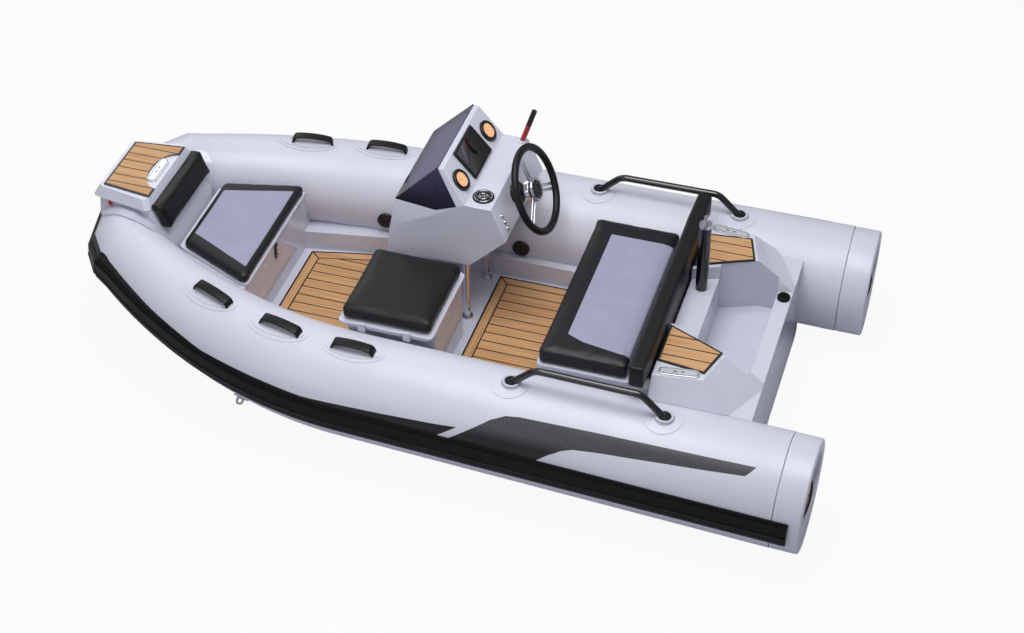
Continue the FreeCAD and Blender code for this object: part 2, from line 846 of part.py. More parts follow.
def makeBackrest():
    half = b.backrest_half_width
    foot = b.backrest_foot_half_width
    low = b.bench_top_z + b.seat_gap
    body = padded("Backrest", "YZ", b.backrest_aft_x,
                  [(-foot, low), (foot, low), (foot, b.backrest_wing_z), (half, b.backrest_wing_z),
                   (half, b.backrest_top_z), (-half, b.backrest_top_z), (-half, b.backrest_wing_z),
                   (-foot, b.backrest_wing_z)], b.backrest_thickness)
    fillet(body, body.Tip, edgesAlong(body.Tip.Shape, Vector(0, 1, 0)), b.cushion_round / 4)
    keep(body, "backrest")


def makeBoxSeat(tubeSpace):
    aft = b.box_aft_x
    front = b.box_aft_x + b.box_length
    inner = b.box_inner_y
    outer = b.box_outer_y
    low = b.floor_z + b.seat_gap
    body = padded("BoxBase", "XY", low,
                  [(aft, inner), (front, inner), (front, outer), (aft, outer)], b.box_top_z - low)
    fillet(body, body.Tip, edgesAlong(body.Tip.Shape, Vector(0, 0, 1)), b.locker_wall)
    sketch = newSketch(body, "XY", b.box_top_z)
    wall = b.locker_wall
    drawPolygon(sketch, [(aft + wall, inner + wall), (front - wall, inner + wall),
                         (front - wall, outer - wall), (aft + wall, outer - wall)])
    pocket(body, sketch, b.box_top_z - low - b.locker_wall)
    sketch = newSketch(body, "XY", b.box_top_z)
    lip = outer - wall
    flange = outer + b.box_flange_depth
    drawPolygon(sketch, [(aft + wall, lip), (front - wall, lip), (front - wall, flange), (aft + wall, flange)])
    pad(body, sketch, b.box_flange_thickness, True)
    parts = [body]
    rise = b.box_hinge_z - b.box_top_z + b.box_flange_thickness
    for quarter in (1, 3):
        x = aft + b.box_length * quarter / 4 - b.box_hinge_width / 2
        arm = document.addObject("Part::Box", "BoxHingeArm")
        bind(arm, "Length", b.box_hinge_width)
        bind(arm, "Width", b.box_hinge_y - flange + b.box_hinge_radius + b.seat_gap)
        bind(arm, "Height", b.box_flange_thickness)
        place(arm, (x, flange - b.seat_gap, b.box_top_z - b.box_flange_thickness))
        post = document.addObject("Part::Box", "BoxHingePost")
        bind(post, "Length", b.box_hinge_width)
        bind(post, "Width", 2 * b.box_hinge_radius)
        bind(post, "Height", rise)
        place(post, (x, b.box_hinge_y - b.box_hinge_radius, b.box_top_z - b.box_flange_thickness))
        pin = cylinder("BoxHingePin", b.box_hinge_radius, b.box_hinge_width,
                       (x, b.box_hinge_y, b.box_hinge_z), Vector(1, 0, 0))
        parts += [arm, post, pin]
    keep(cut("BoxTrimmed", fuse("BoxWithHinges", parts), tubeSpace), "box_seat_base")
    side = b.box_lid_side
    outline = [(aft - side, inner - side), (front + side, inner - side),
               (front + side, b.box_lid_outer_y), (aft - side, b.box_lid_outer_y)]
    lid = padded("BoxLid", "XY", b.box_top_z + b.seat_gap, outline, b.lid_thickness)
    fillet(lid, lid.Tip, edgesAlong(lid.Tip.Shape, Vector(0, 0, 1)), b.cushion_round)
    keep(lid, "box_seat_lid")
    cushion = padded("BoxCushion", "XY", b.box_top_z + b.lid_thickness + 2 * b.seat_gap, outline,
                     b.box_cushion_height)
    softEdges(cushion)
    keep(cushion, "box_seat_cushion")


def taper(aft_x, front_x, aft_half, front_half):
    return [(aft_x, -aft_half), (front_x, -front_half), (front_x, front_half), (aft_x, aft_half)]


def lockerSlope():
    return math.degrees(math.atan(n.bow_locker_rise / n.bow_locker_length))


def sloped(item):
    # Turns a level piece up towards the bow about the aft top edge of the bow locker.
    edge = Vector(n.locker_aft_x, 0, n.bow_locker_top_z)
    turn = Placement(edge, Rotation(Vector(0, 1, 0), -lockerSlope()))
    item.Placement = turn.multiply(Placement(-edge, Rotation()))
    document.recompute()
    return item


def makeBowLocker(tubeSpace):
    aft = b.locker_aft_x
    front = b.locker_aft_x + b.bow_locker_length
    high = b.bow_locker_top_z + b.bow_locker_rise + b.seat_gap
    body = padded("BowLockerBlock", "XY", b.hull_top_z,
                  taper(aft, front, b.liner_half_width, b.bow_locker_half_width), high - b.hull_top_z)
    sketch = newSketch(body, "XY", high)
    drawPolygon(sketch, taper(aft + b.locker_wall, aft + b.bow_well_length,
                              b.bow_well_half_width, b.bow_well_half_width))
    pocket(body, sketch, high - b.bow_well_floor_z)
    above = document.addObject("Part::Box", "BowLockerAbove")
    bind(above, "Length", b.bow_locker_length * 2)
    bind(above, "Width", b.liner_half_width * 2)
    bind(above, "Height", b.overrun * 2)
    above.Placement = sloped(above).Placement.multiply(
        Placement(Vector(n.locker_aft_x - n.overrun, -n.liner_half_width, n.bow_locker_top_z), Rotation()))
    document.recompute()
    keep(cut("BowLocker", cut("BowLockerLevel", body, above), tubeSpace), "bow_locker")
    lid = padded("BowLid", "XY", b.bow_locker_top_z + b.seat_gap,
                 taper(aft - b.box_lid_side, b.bow_hinge_x - b.box_lid_side / 2,
                       b.bow_lid_aft_half_width, b.bow_locker_front_half_width), b.lid_thickness)
    fillet(lid, lid.Tip, edgesAlong(lid.Tip.Shape, Vector(0, 0, 1)), b.cushion_round)
    keep(sloped(lid), "bow_lid")
    cushion = padded("BowCushion", "XY", b.bow_locker_top_z + b.lid_thickness + 2 * b.seat_gap,
                     taper(aft - b.box_lid_side, b.bow_hinge_x - 2 * b.box_lid_side,
                           b.bow_cushion_aft_half_width, b.bow_cushion_front_half_width),
                     b.bow_cushion_height)
    softEdges(cushion)
    keep(sloped(cushion), "bow_cushion")
    latch = document.addObject("Part::Box", "BowLatch")
    bind(latch, "Length", b.latch_depth)
    bind(latch, "Width", b.latch_width)
    bind(latch, "Height", b.latch_height)
    place(latch, (b.locker_aft_x - b.latch_depth, -b.latch_width / 2,
                  b.bow_locker_top_z - b.latch_height - b.latch_drop))
    keep(latch, "bow_latch")


def stepRake():
    return n.step_rake / (n.step_top_z - n.step_knee_z)


def stepLevels():
    # Heights of the bow step's sections with how far each spreads beyond the top.
    return [(n.stem_top_z + n.seat_gap, n.step_foot_width), (n.step_knee_z, n.step_foot_width),
            (n.step_neck_z, n.step_neck_width), (n.step_bevel_z, n.step_bevel_width),
            (n.step_top_z - n.step_rim, n.step_neck_width), (n.step_top_z, 0)]


def stepAft(level):
    return n.step_aft_x - (n.step_top_z - max(level, n.step_knee_z)) * stepRake()


def stepOutline(level, spread):
    return taper(stepAft(level), n.step_front_x + spread, n.step_aft_half_width + spread,
                 n.step_front_half_width + spread)


def makeBowStep(tubeSpace, strake):
    # A raised moulding over the nose: a rimmed top on a bevelled band, a sunk neck and a skirt on the tubes.
    wires = [roundedWire(stepOutline(level, spread), level, n.step_round) for level, spread in stepLevels()]
    whole = Part.makeLoft(wires, True, True)
    outline = taper(stepAft(0), n.skirt_front_x, n.skirt_aft_half_width, n.skirt_front_half_width)
    column = Part.Face(roundedWire(outline, n.step_knee_z, n.skirt_round)).extrude(Vector(0, 0, n.step_rake * 2))
    port = bowLoft(circleProfile(n.skirt_thickness))
    skirt = port.fuse(mirrorShape(port)).common(column)
    keep(plain("BowStep", soleSolid(whole.fuse(skirt).cut([tubeSpace.Shape, strake.Shape]))), "bow_step")
    back = n.seat_gap + n.bolster_thickness
    points = [(stepAft(n.bolster_bottom_z) - n.seat_gap, n.bolster_bottom_z),
              (stepAft(n.bolster_top_z) - n.seat_gap, n.bolster_top_z),
              (stepAft(n.bolster_top_z) - back, n.bolster_top_z),
              (stepAft(n.bolster_bottom_z) - back, n.bolster_bottom_z)]
    half = n.bolster_half_width
    face = Part.Face(Part.makePolygon([Vector(x, -half, z) for x, z in points + points[:1]]))
    keep(plain("BowBolster", face.extrude(Vector(0, 2 * half, 0))), "bow_bolster")


# Console

def dashAngle():
    return math.atan2(n.dash_top_z - n.desk_z, n.dash_top_x - n.desk_front_x)


def aftFaceAngle():
    return math.atan2(n.desk_aft_x - n.console_nose_x, n.desk_z - n.console_nose_z)


def makeConsole(tubeSpace):
    width = b.console_port_y - b.console_starboard_y
    body = padded("ConsoleBlock", "XZ", -b.console_port_y,
                  [(b.console_low_x, b.console_bottom_z), (b.console_front_x, b.console_bottom_z),
                   (b.console_front_top_x, b.console_shelf_z), (b.dash_top_x + b.dash_thickness, b.console_shelf_z),
                   (b.dash_top_x + b.dash_thickness, b.dash_top_z), (b.dash_top_x, b.dash_top_z),
                   (b.desk_front_x, b.desk_z), (b.desk_aft_x, b.desk_z), (b.console_nose_x, b.console_nose_z)],
                  width)
    shape = soleSolid(leaned(body.Shape, 0).cut(tubeSpace.Shape))
    keep(plain("ConsoleBody", shape), "console_body")


def beyond(point, normal):
    # A large block on the far side of a plane, as a cutting tool.
    reach = n.work_reach
    block = Part.makeBox(2 * reach, 2 * reach, reach, Vector(-reach, -reach, 0))
    block.Placement = Placement(point, Rotation(Vector(0, 0, 1), normal))
    return block


def leaned(shape, inset):
    # Trims a console shape to the port side: a leaning face below a crease that rises aft, and a facet above it.
    rise = n.desk_z - n.console_bottom_z
    side = Vector(0, rise, n.console_lean).normalize()
    low = Vector(0, n.console_port_y, n.console_bottom_z)
    lean = n.console_lean / rise
    crease = Vector(n.console_front_top_x, low.y - lean * (n.crease_z - low.z), n.crease_z)
    shoulder = Vector(n.desk_front_x, low.y - n.console_lean, n.desk_z)
    foot = Vector(n.console_front_top_x, low.y - n.console_lean - n.facet_width, n.console_shelf_z)
    facet = (foot - crease).cross(shoulder - crease).normalize()
    for point, normal in ((low, side), (crease, facet)):
        outward = normal if normal.y > 0 else -normal
        shape = shape.cut(beyond(point - outward * inset, outward))
    return shape


def screenWedge(inset):
    # The windscreen's outside, or the space inside its panes.
    foot = n.console_shelf_z + n.seat_gap
    back = n.dash_top_x + n.dash_thickness + n.seat_gap
    points = [(n.console_front_top_x - inset * 3 / 2, foot), (back, foot),
              (back, n.dash_top_z + n.screen_thickness - inset * 3 / 2)]
    face = Part.Face(Part.makePolygon([Vector(x, n.console_port_y, z) for x, z in points + points[:1]]))
    width = n.console_port_y - n.console_starboard_y - inset
    return leaned(face.extrude(Vector(0, -width, 0)), inset)


def makeWindscreen():
    shape = screenWedge(0).cut(screenWedge(n.screen_thickness))
    keep(plain("Windscreen", soleSolid(shape)), "windscreen")


def makeConsoleLegs():
    low = b.floor_z + b.seat_gap
    height = b.console_bottom_z - low - b.seat_gap
    legs = []
    for name, y in (("LegPort", b.leg_port_y), ("LegStarboard", b.leg_starboard_y)):
        leg = cylinder(name, b.leg_radius, height, (b.console_low_x + b.leg_setback, y, low))
        foot = cylinder(name + "Foot", b.leg_foot_radius, b.pad_thickness,
                        (b.console_low_x + b.leg_setback, y, low))
        legs.append(fuse(name + "Whole", [leg, foot]))
    pair = document.addObject("Part::Compound", "ConsoleLegs")
    pair.Links = legs
    document.recompute()
    keep(pair, "console_legs")


def dashFrame(across, up):
    # A point on the dash face, with its outward direction.
    angle = dashAngle()
    half = (n.dash_top_z - n.desk_z) / 2
    reach = half / math.sin(angle) + up
    point = Vector(n.desk_front_x + reach * math.cos(angle), across, n.desk_z + reach * math.sin(angle))
    normal = Vector(-math.sin(angle), 0, math.cos(angle))
    return point + normal * n.seat_gap, normal


def dashMiddle():
    return (n.console_port_y + n.console_starboard_y) / 2


def makeDashFittings():
    point, normal = dashFrame(dashMiddle(), 0)
    screen = Part.makeBox(n.display_width, n.display_height, n.fitting_height)
    screen.translate(Vector(-n.display_width / 2, -n.display_height / 2, 0))
    across = Vector(0, -1, 0)
    turn = Rotation(across, normal.cross(across), normal, "ZXY")
    screen.Placement = Placement(point, turn).multiply(screen.Placement)
    keep(plain("DashDisplay", screen), "dash_display")
    gauges = []
    for side in (-1, 1):
        point, normal = dashFrame(dashMiddle() + side * n.gauge_spread, 0)
        gauges.append(Part.makeCylinder(n.gauge_radius, n.fitting_height, point, normal))
    keep(plain("DashGauges", Part.makeCompound(gauges)), "dash_gauges")
    speaker = Part.makeCylinder(n.speaker_radius, n.fitting_height,
                                Vector((n.desk_front_x + n.desk_aft_x) / 2,
                                       n.console_port_y - 2 * n.speaker_radius, n.desk_z + n.seat_gap))
    keep(plain("DashSpeaker", speaker), "dash_speaker")
    buttons = []
    for index in range(3):
        point, normal = aftFacePoint(n.console_port_y - n.speaker_radius, (1 - index) * 3 * n.button_radius)
        buttons.append(Part.makeCylinder(n.button_radius, n.fitting_height, point, normal))
    keep(plain("DashButtons", Part.makeCompound(buttons)), "dash_buttons")


def aftFacePoint(across, up):
    # A point on the console's aft face, with its outward direction.
    angle = aftFaceAngle()
    middle = Vector((n.desk_aft_x + n.console_nose_x) / 2, across, (n.desk_z + n.console_nose_z) / 2)
    along = Vector(math.sin(angle), 0, math.cos(angle))
    normal = Vector(-math.cos(angle), 0, math.sin(angle))
    return middle + along * up + normal * n.seat_gap, normal


def makeThrottle():
    base = Vector(n.desk_aft_x + 2 * n.lever_radius, n.console_starboard_y + 2 * n.lever_radius,
                  n.desk_z + n.seat_gap)
    lean = Vector(-n.lever_lean, 0, n.lever_length)
    lever = Part.makeCone(n.lever_radius / 2, n.lever_radius, lean.Length, base, lean)
    above = Part.makeBox(n.lever_length, n.lever_length, 2 * n.lever_length)
    above.translate(base - Vector(n.lever_length / 2, n.lever_length / 2, 0))
    collar = Part.makeCylinder(2 * n.lever_radius, n.fitting_height, base)
    keep(plain("ThrottleLever", lever.common(above).fuse(collar)), "throttle_lever")


# Steering wheel

def wheelPlacement(offset):
    point, normal = aftFacePoint(n.wheel_y, 0)
    return Placement(point + normal * offset, Rotation(Vector(0, 0, 1), normal)), normal


def makeWheel():
    centre, normal = wheelPlacement(n.wheel_offset)
    rim = document.addObject("Part::Torus", "WheelRim")
    bind(rim, "Radius1", b.wheel_radius)
    bind(rim, "Radius2", b.wheel_grip_radius)
    rim.Placement = centre
    document.recompute()
    keep(rim, "wheel_rim")
    hub = Part.makeCylinder(n.hub_radius, n.hub_length, Vector(0, 0, -n.hub_length))
    parts = [hub]
    length = n.wheel_radius - n.wheel_grip_radius - n.seat_gap
    for index in range(3):
        spoke = Part.makeBox(length, n.spoke_width, n.spoke_thickness)
        spoke.translate(Vector(0, -n.spoke_width / 2, -n.spoke_thickness))
        spoke.rotate(Vector(0, 0, 0), Vector(0, 0, 1), 120 * index)
        parts.append(spoke)
    inside = Part.makeCylinder(length, 2 * n.hub_length, Vector(0, 0, -n.hub_length))
    spider = parts[0].fuse(parts[1:]).common(inside).removeSplitter()
    spider.Placement = centre
    keep(plain("WheelSpider", spider), "wheel_spider")
    start, normal = wheelPlacement(0)
    bezel = Part.makeCylinder(n.bezel_radius, n.bezel_length, start.Base, normal)
    reach = n.wheel_offset - n.hub_length - n.seat_gap
    shaft = Part.makeCylinder(n.shaft_radius, reach, start.Base, normal)
    keep(plain("HelmBezel", bezel.fuse(shaft)), "helm_bezel")


# Rails and handles on the tubes

def onTube(x, roll):
    # A point on the port tube's surface, with the outward direction and the run's direction.
    centre, heading, pitch, radius, stretch = stationAt(x)
    beside = Vector(math.sin(heading), math.cos(heading), 0)
    along = Vector(math.cos(heading) * math.cos(pitch), -math.sin(heading) * math.cos(pitch), math.sin(pitch))
    above = along.cross(beside)
    outward = beside * math.sin(roll) + above * math.cos(roll)
    return centre + outward * (radius + n.tube_gap), outward, along


def cornerArc(before, corner, after, radius):
    # Where an arc that rounds a corner starts, its middle, and where it ends.
    back = (before - corner).normalize()
    ahead = (after - corner).normalize()
    half_turn = (math.pi - back.getAngle(ahead)) / 2
    reach = radius * math.tan(half_turn)
    inward = (back + ahead).normalize()
    middle = corner + inward * (radius / math.cos(half_turn) - radius)
    return corner + back * reach, middle, corner + ahead * reach


def roundedWire(points, level, radius):
    # A closed level outline with rounded corners.
    corners = [Vector(x, y, level) for x, y in points]
    arcs = [cornerArc(corners[index - 1], corner, corners[(index + 1) % len(corners)], radius)
            for index, corner in enumerate(corners)]
    edges = []
    for index, (enter, middle, leave) in enumerate(arcs):
        edges.append(Part.Arc(enter, middle, leave).toShape())
        edges.append(Part.LineSegment(leave, arcs[(index + 1) % len(arcs)][0]).toShape())
    return Part.Wire(edges)


def bentTube(points, bend, radius):
    # A round tube along straight runs joined by tangent arcs.
    edges = []
    start = points[0]
    for before, corner, after in zip(points, points[1:], points[2:]):
        enter, middle, leave = cornerArc(before, corner, after, bend)
        edges.append(Part.LineSegment(start, enter).toShape())
        edges.append(Part.Arc(enter, middle, leave).toShape())
        start = leave
    edges.append(Part.LineSegment(start, points[-1]).toShape())
    path = Part.Wire(edges)
    circle = Part.Wire([Part.Circle(points[0], points[1] - points[0], radius).toShape()])
    return path.makePipeShell([circle], True, False)


def makeRails(tubeSpace):
    spots = [onTube(x, 0) for x in (n.rail_aft_x, n.rail_front_x)]
    lift = Vector(0, 0, n.rail_height)
    (aft, up, along), (front, up, along) = spots
    points = [aft, aft + lift + along * n.rail_run_in, front + lift - along * n.rail_run_in, front]
    port = bentTube(points, n.rail_bend, n.rail_radius)
    bases = []
    for spot, up, along in spots:
        foot = spot - up * n.rail_base_height
        port = port.cut(Part.makeCylinder(n.rail_base_radius, n.rail_base_height * 3 / 2 + n.seat_gap, foot, up))
        disc = Part.makeCylinder(n.rail_base_radius, n.rail_base_height * 3 / 2, foot, up)
        boss = Part.makeCone(n.rail_base_radius, n.rail_base_radius / 2, 2 * n.rail_base_height, foot, up)
        base = soleSolid(disc.common(boss).cut(tubeSpace.Shape))
        bases += [base, mirrorShape(base)]
    port = soleSolid(port)
    keep(plain("GrabRails", Part.makeCompound([port, mirrorShape(port)])), "grab_rails")
    keep(plain("RailBases", Part.makeCompound(bases)), "rail_bases")


def edgesAcross(shape, height):
    # The edges of a strap that run across it at one height.
    found = []
    for edge in shape.Edges:
        first, last = edge.Vertexes[0].Point, edge.Vertexes[-1].Point
        if abs(first.z - height) + abs(last.z - height) < n.seat_gap and abs(first.x - last.x) < n.seat_gap:
            found.append(edge)
    return found


def handle(x, tubeSpace):
    # An arched strap whose feet sit down on the tube, following its run.
    spot, outward, along = onTube(x, math.radians(n.handle_roll))
    half = n.handle_length / 2
    rise = n.handle_rise
    strap = n.handle_strap
    top = half - n.handle_slant
    under = top - strap / 2
    outline = [(-half, -strap), (-top, rise), (top, rise), (half, -strap), (half - n.handle_foot, -strap),
               (under, rise - strap), (-under, rise - strap), (n.handle_foot - half, -strap)]
    face = Part.Face(Part.makePolygon([Vector(p, -n.handle_width / 2, q) for p, q in outline + outline[:1]]))
    shape = face.extrude(Vector(0, n.handle_width, 0))
    shape = shape.makeFillet(n.handle_bend, edgesAcross(shape, rise))
    shape = shape.makeFillet(n.handle_bend - strap, edgesAcross(shape, rise - strap))
    shape.Placement = Placement(spot, Rotation(along, outward.cross(along), outward, "ZXY"))
    return soleSolid(shape.cut(tubeSpace.Shape))


def makeHandles(tubeSpace):
    handles = [handle(n.handle_first_x + index * n.handle_spacing, tubeSpace) for index in range(3)]
    keep(plain("HandlesPort", Part.makeCompound(handles)), "handles_port")
    twins = [mirrorShape(item) for item in handles]
    keep(plain("HandlesStarboard", Part.makeCompound(twins)), "handles_starboard")


# Mast, cleats, valves and other fittings

def makeMast():
    low = b.bridge_top_z + b.seat_gap
    mast = cylinder("SternMast", b.mast_radius, b.mast_top_z - low, (b.mast_x, b.mast_y, low))
    document.recompute()
    keep(mast, "stern_mast")
    base = cylinder("LightBase", b.light_radius, b.light_height,
                    (b.mast_x, b.mast_y, b.mast_top_z + b.seat_gap))
    stem = cylinder("LightStem", b.light_radius / 3, b.light_height + b.light_stem,
                    (b.mast_x, b.mast_y, b.mast_top_z + b.seat_gap))
    keep(fuse("MastLight", [base, stem]), "mast_light")


def cleat(x, y, z):
    radius = n.cleat_width / 2
    flat = n.cleat_length / 2 - radius
    body = Part.makeBox(2 * flat, n.cleat_width, n.fitting_height, Vector(-flat, -radius, 0))
    ends = [Part.makeCylinder(radius, n.fitting_height, Vector(side * flat, 0, 0)) for side in (-1, 1)]
    shape = body.fuse(ends).removeSplitter()
    shape.translate(Vector(x, y, z + n.seat_gap))
    return shape


def makeCleats():
    port = cleat(n.cleat_x, n.cleat_y - n.cleat_width / 2, n.quarter_deck_z)
    bow = cleat(0, 0, n.step_top_z)
    bow.rotate(Vector(0, 0, 0), Vector(0, 0, 1), 90)
    bow.translate(Vector(n.bow_cleat_x, 0, 0))
    keep(plain("Cleats", Part.makeCompound([port, mirrorShape(port), bow])), "cleats")


def makeValves(tubeSpace):
    valves = []
    for x in (n.valve_aft_x, n.valve_fore_x):
        spot, outward, along = onTube(x, math.radians(n.valve_roll))
        valve = Part.makeCylinder(n.valve_radius, 2 * n.valve_height, spot - outward * n.valve_height, outward)
        valve = soleSolid(valve.cut(tubeSpace.Shape))
        valves += [valve, mirrorShape(valve)]
    keep(plain("AirValves", Part.makeCompound(valves)), "air_valves")


def stepSide(x, z):
    # The half-breadth of the bow step's neck at a place on its side.
    fall = (n.step_neck_z - z) / (n.step_neck_z - n.step_knee_z)
    spread = n.step_neck_width + (n.step_foot_width - n.step_neck_width) * fall
    share = (x - stepAft(z)) / (n.step_front_x + spread - stepAft(z))
    return n.step_aft_half_width + spread + (n.step_front_half_width - n.step_aft_half_width) * share


def makeNavLights():
    side = stepSide(n.nav_x, n.nav_z)
    fall_x = side - stepSide(n.nav_x + n.nav_radius, n.nav_z)
    fall_z = side - stepSide(n.nav_x, n.nav_z + n.nav_radius)
    outward = Vector(fall_x, n.nav_radius, fall_z).normalize()
    spot = Vector(n.nav_x, side, n.nav_z) + outward * n.seat_gap
    port = Part.makeCylinder(n.nav_radius, n.nav_radius, spot, outward)
    keep(plain("NavLights", Part.makeCompound([port, mirrorShape(port)])), "nav_lights")


def makeBoot():
    spot = Vector(n.well_aft_x / 2, -n.well_half_width + 2.5 * n.boot_radius,
                  n.cap_strip_top_z + n.seat_gap)
    boot = Part.makeCylinder(n.boot_radius, n.boot_height, spot)
    keep(plain("RiggingBoot", boot), "rigging_boot")


def makeEyes(tubeSpace):
    # A stainless eye below each bow shoulder, holed for the lifting bridle.
    spot, outward, along = onTube(n.eye_x, math.radians(n.eye_roll))
    across = outward.cross(along)
    plate = Part.makeBox(n.eye_plate_length, n.eye_plate_width, n.eye_plate_thickness,
                         Vector(-n.eye_plate_length / 2, -n.eye_plate_width / 2, n.seat_gap))
    lug_half = n.eye_hole_radius * 2
    thickness = n.eye_plate_thickness
    lug = Part.makeBox(2 * lug_half, thickness, n.eye_reach - lug_half, Vector(-lug_half, -thickness / 2, n.seat_gap))
    crown = Part.makeCylinder(lug_half, thickness, Vector(0, -thickness / 2, n.eye_reach - lug_half),
                              Vector(0, 1, 0))
    hole = Part.makeCylinder(n.eye_hole_radius, 3 * thickness,
                             Vector(0, -1.5 * thickness, n.eye_reach - lug_half), Vector(0, 1, 0))
    eye = plate.fuse([lug, crown]).cut(hole)
    spread = Placement(spot, Rotation(along, across, outward, "ZXY"))
    eye.Placement = spread
    eye = soleSolid(eye.cut(tubeSpace.Shape))
    keep(plain("BowEyes", Part.makeCompound([eye, mirrorShape(eye)])), "bow_eyes")
    centre = spread.multVec(Vector(0, 0, n.eye_reach - lug_half))
    print("eye centre", centre, "axis", across)


def makeTeak():
    thickness = b.pad_thickness
    level = b.floor_z + b.seat_gap
    width = b.cockpit_half_width - b.locker_wall
    aft = padded("TeakAft", "XY", level,
                 [(b.bench_front_x + b.locker_wall, -width), (b.box_aft_x - 2 * b.locker_wall, -width),
                  (b.box_aft_x - 2 * b.locker_wall, width), (b.bench_front_x + b.locker_wall, width)], thickness)
    front = b.locker_aft_x - 2 * b.locker_wall
    fore = padded("TeakFore", "XY", level,
                  [(b.box_aft_x + b.box_length + b.locker_wall, -width),
                   (b.box_aft_x + b.box_length + 4 * b.locker_wall, -width),
                   (front, -b.bow_locker_half_width + b.locker_wall),
                   (front, b.bow_locker_half_width - b.locker_wall),
                   (b.box_aft_x + b.box_length + 4 * b.locker_wall, width),
                   (b.box_aft_x + b.box_length + b.locker_wall, width)], thickness)
    floor = document.addObject("Part::Compound", "TeakFloor")
    floor.Links = [aft, fore]
    document.recompute()
    keep(floor, "teak_floor")
    quarter = padded("TeakQuarter", "XY", b.quarter_deck_z + b.seat_gap,
                     [(b.stern_front_x - b.seat_gap, b.quarter_inner_front_y + b.locker_wall),
                      (b.quarter_inner_aft_x + 2 * b.locker_wall, b.well_half_width - b.box_lid_side),
                      (b.quarter_outer_aft_x, b.quarter_outer_aft_y - b.cleat_width),
                      (b.stern_front_x - b.seat_gap, b.quarter_outer_front_y - 2 * b.cleat_width)], thickness)
    pair = both("TeakQuarters", quarter)
    bow = padded("TeakBow", "XY", b.step_top_z + b.seat_gap,
                 [(b.bow_cleat_x + b.cleat_width, -b.step_aft_half_width + 2 * b.locker_wall),
                  (b.step_front_x - b.locker_wall, -b.step_front_half_width + b.locker_wall / 2),
                  (b.step_front_x - b.locker_wall, b.step_front_half_width - b.locker_wall / 2),
                  (b.bow_cleat_x + b.cleat_width, b.step_aft_half_width - 2 * b.locker_wall)], thickness)
    decks = document.addObject("Part::Compound", "TeakDecks")
    decks.Links = [pair, bow]
    document.recompute()
    keep(decks, "teak_decks")


def checkAndExport():
    document.recompute()
    for item in document.Objects:
        if "Invalid" in item.State or "Error" in item.State:
            raise RuntimeError("%s failed: %s" % (item.Name, item.State))
    os.makedirs("parts", exist_ok=True)
    for item in nodes:
        shape = item.Shape
        if shape.isNull() or not shape.isValid():
            raise RuntimeError("%s has a bad shape" % item.Label)
        shape.exportStep("parts/%s.step" % item.Label)
        bounds = shape.optimalBoundingBox(True, False)
        print("%-20s %d solids %8.0f cm3  x %6.0f..%6.0f  y %6.0f..%6.0f  z %6.0f..%6.0f" % (
            item.Label, len(shape.Solids), shape.Volume / 1000, bounds.XMin, bounds.XMax,
            bounds.YMin, bounds.YMax, bounds.ZMin, bounds.ZMax))


makeTubes()
tubeSpace = makeTubeSpace()
strake = makeStrake()
makeEndCap()
makeHull(tubeSpace)
makeTransom(tubeSpace)
makeLiner(tubeSpace)
makeSternMoulding(tubeSpace)
makeBench(tubeSpace)
makeBackrest()
makeBoxSeat(tubeSpace)
makeBowLocker(tubeSpace)
makeBowStep(tubeSpace, strake)
makeConsole(tubeSpace)
makeWindscreen()
makeConsoleLegs()
makeDashFittings()
makeThrottle()
makeWheel()
makeRails(tubeSpace)
makeHandles(tubeSpace)
makeMast()
makeCleats()
makeValves(tubeSpace)
makeNavLights()
makeBoot()
makeEyes(tubeSpace)
makeTeak()
checkAndExport()
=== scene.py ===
import bmesh
import bpy
import json
import math
from mathutils import Matrix, Vector


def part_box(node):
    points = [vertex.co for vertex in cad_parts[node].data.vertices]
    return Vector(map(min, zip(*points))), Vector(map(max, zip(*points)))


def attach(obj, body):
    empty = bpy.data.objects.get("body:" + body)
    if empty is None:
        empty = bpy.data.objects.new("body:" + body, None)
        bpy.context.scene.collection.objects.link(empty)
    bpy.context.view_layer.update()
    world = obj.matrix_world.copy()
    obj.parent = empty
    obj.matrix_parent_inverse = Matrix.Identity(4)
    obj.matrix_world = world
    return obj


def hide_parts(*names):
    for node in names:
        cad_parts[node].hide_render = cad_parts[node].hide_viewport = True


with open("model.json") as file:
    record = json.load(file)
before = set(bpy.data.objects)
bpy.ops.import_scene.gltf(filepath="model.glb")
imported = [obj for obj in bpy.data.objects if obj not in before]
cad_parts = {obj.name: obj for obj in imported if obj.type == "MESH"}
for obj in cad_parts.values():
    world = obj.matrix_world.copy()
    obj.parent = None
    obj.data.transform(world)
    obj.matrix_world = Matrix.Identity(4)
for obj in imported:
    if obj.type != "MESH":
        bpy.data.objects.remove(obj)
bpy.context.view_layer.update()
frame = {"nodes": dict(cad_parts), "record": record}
nodes = frame["nodes"]
slotOf = {part["node"]: part["material_slot"] for part in frame["record"]["subparts"]}
mm = 0.001
made = {}  # the materials by name

# Camera: the viewpoint that the photograph was taken from, port side, ahead and above

camera = {
    "place": (-0.82116, 6.15727, 5.78950),
    "right": (-0.9551, -0.2964, 0.0),
    "forward": (0.22461, -0.72373, -0.65251),
    "lens": 73.55,
    "sensor": 36.0,
    "clipEnd": 60,
}


def makeCamera():
    data = bpy.data.cameras.new("camera")
    data.lens = camera["lens"]
    data.sensor_width = camera["sensor"]
    data.clip_end = camera["clipEnd"]
    item = bpy.data.objects.new("camera", data)
    bpy.context.collection.objects.link(item)
    ahead = Vector(camera["forward"]).normalized()
    right = Vector(camera["right"]).normalized()
    up = right.cross(ahead)
    turn = Matrix((right, up, -ahead)).transposed()
    item.matrix_world = Matrix.Translation(camera["place"]) @ turn.to_4x4()
    bpy.context.scene.camera = item


makeCamera()
bpy.context.scene.view_settings.view_transform = "Standard"


# Node and colour helpers

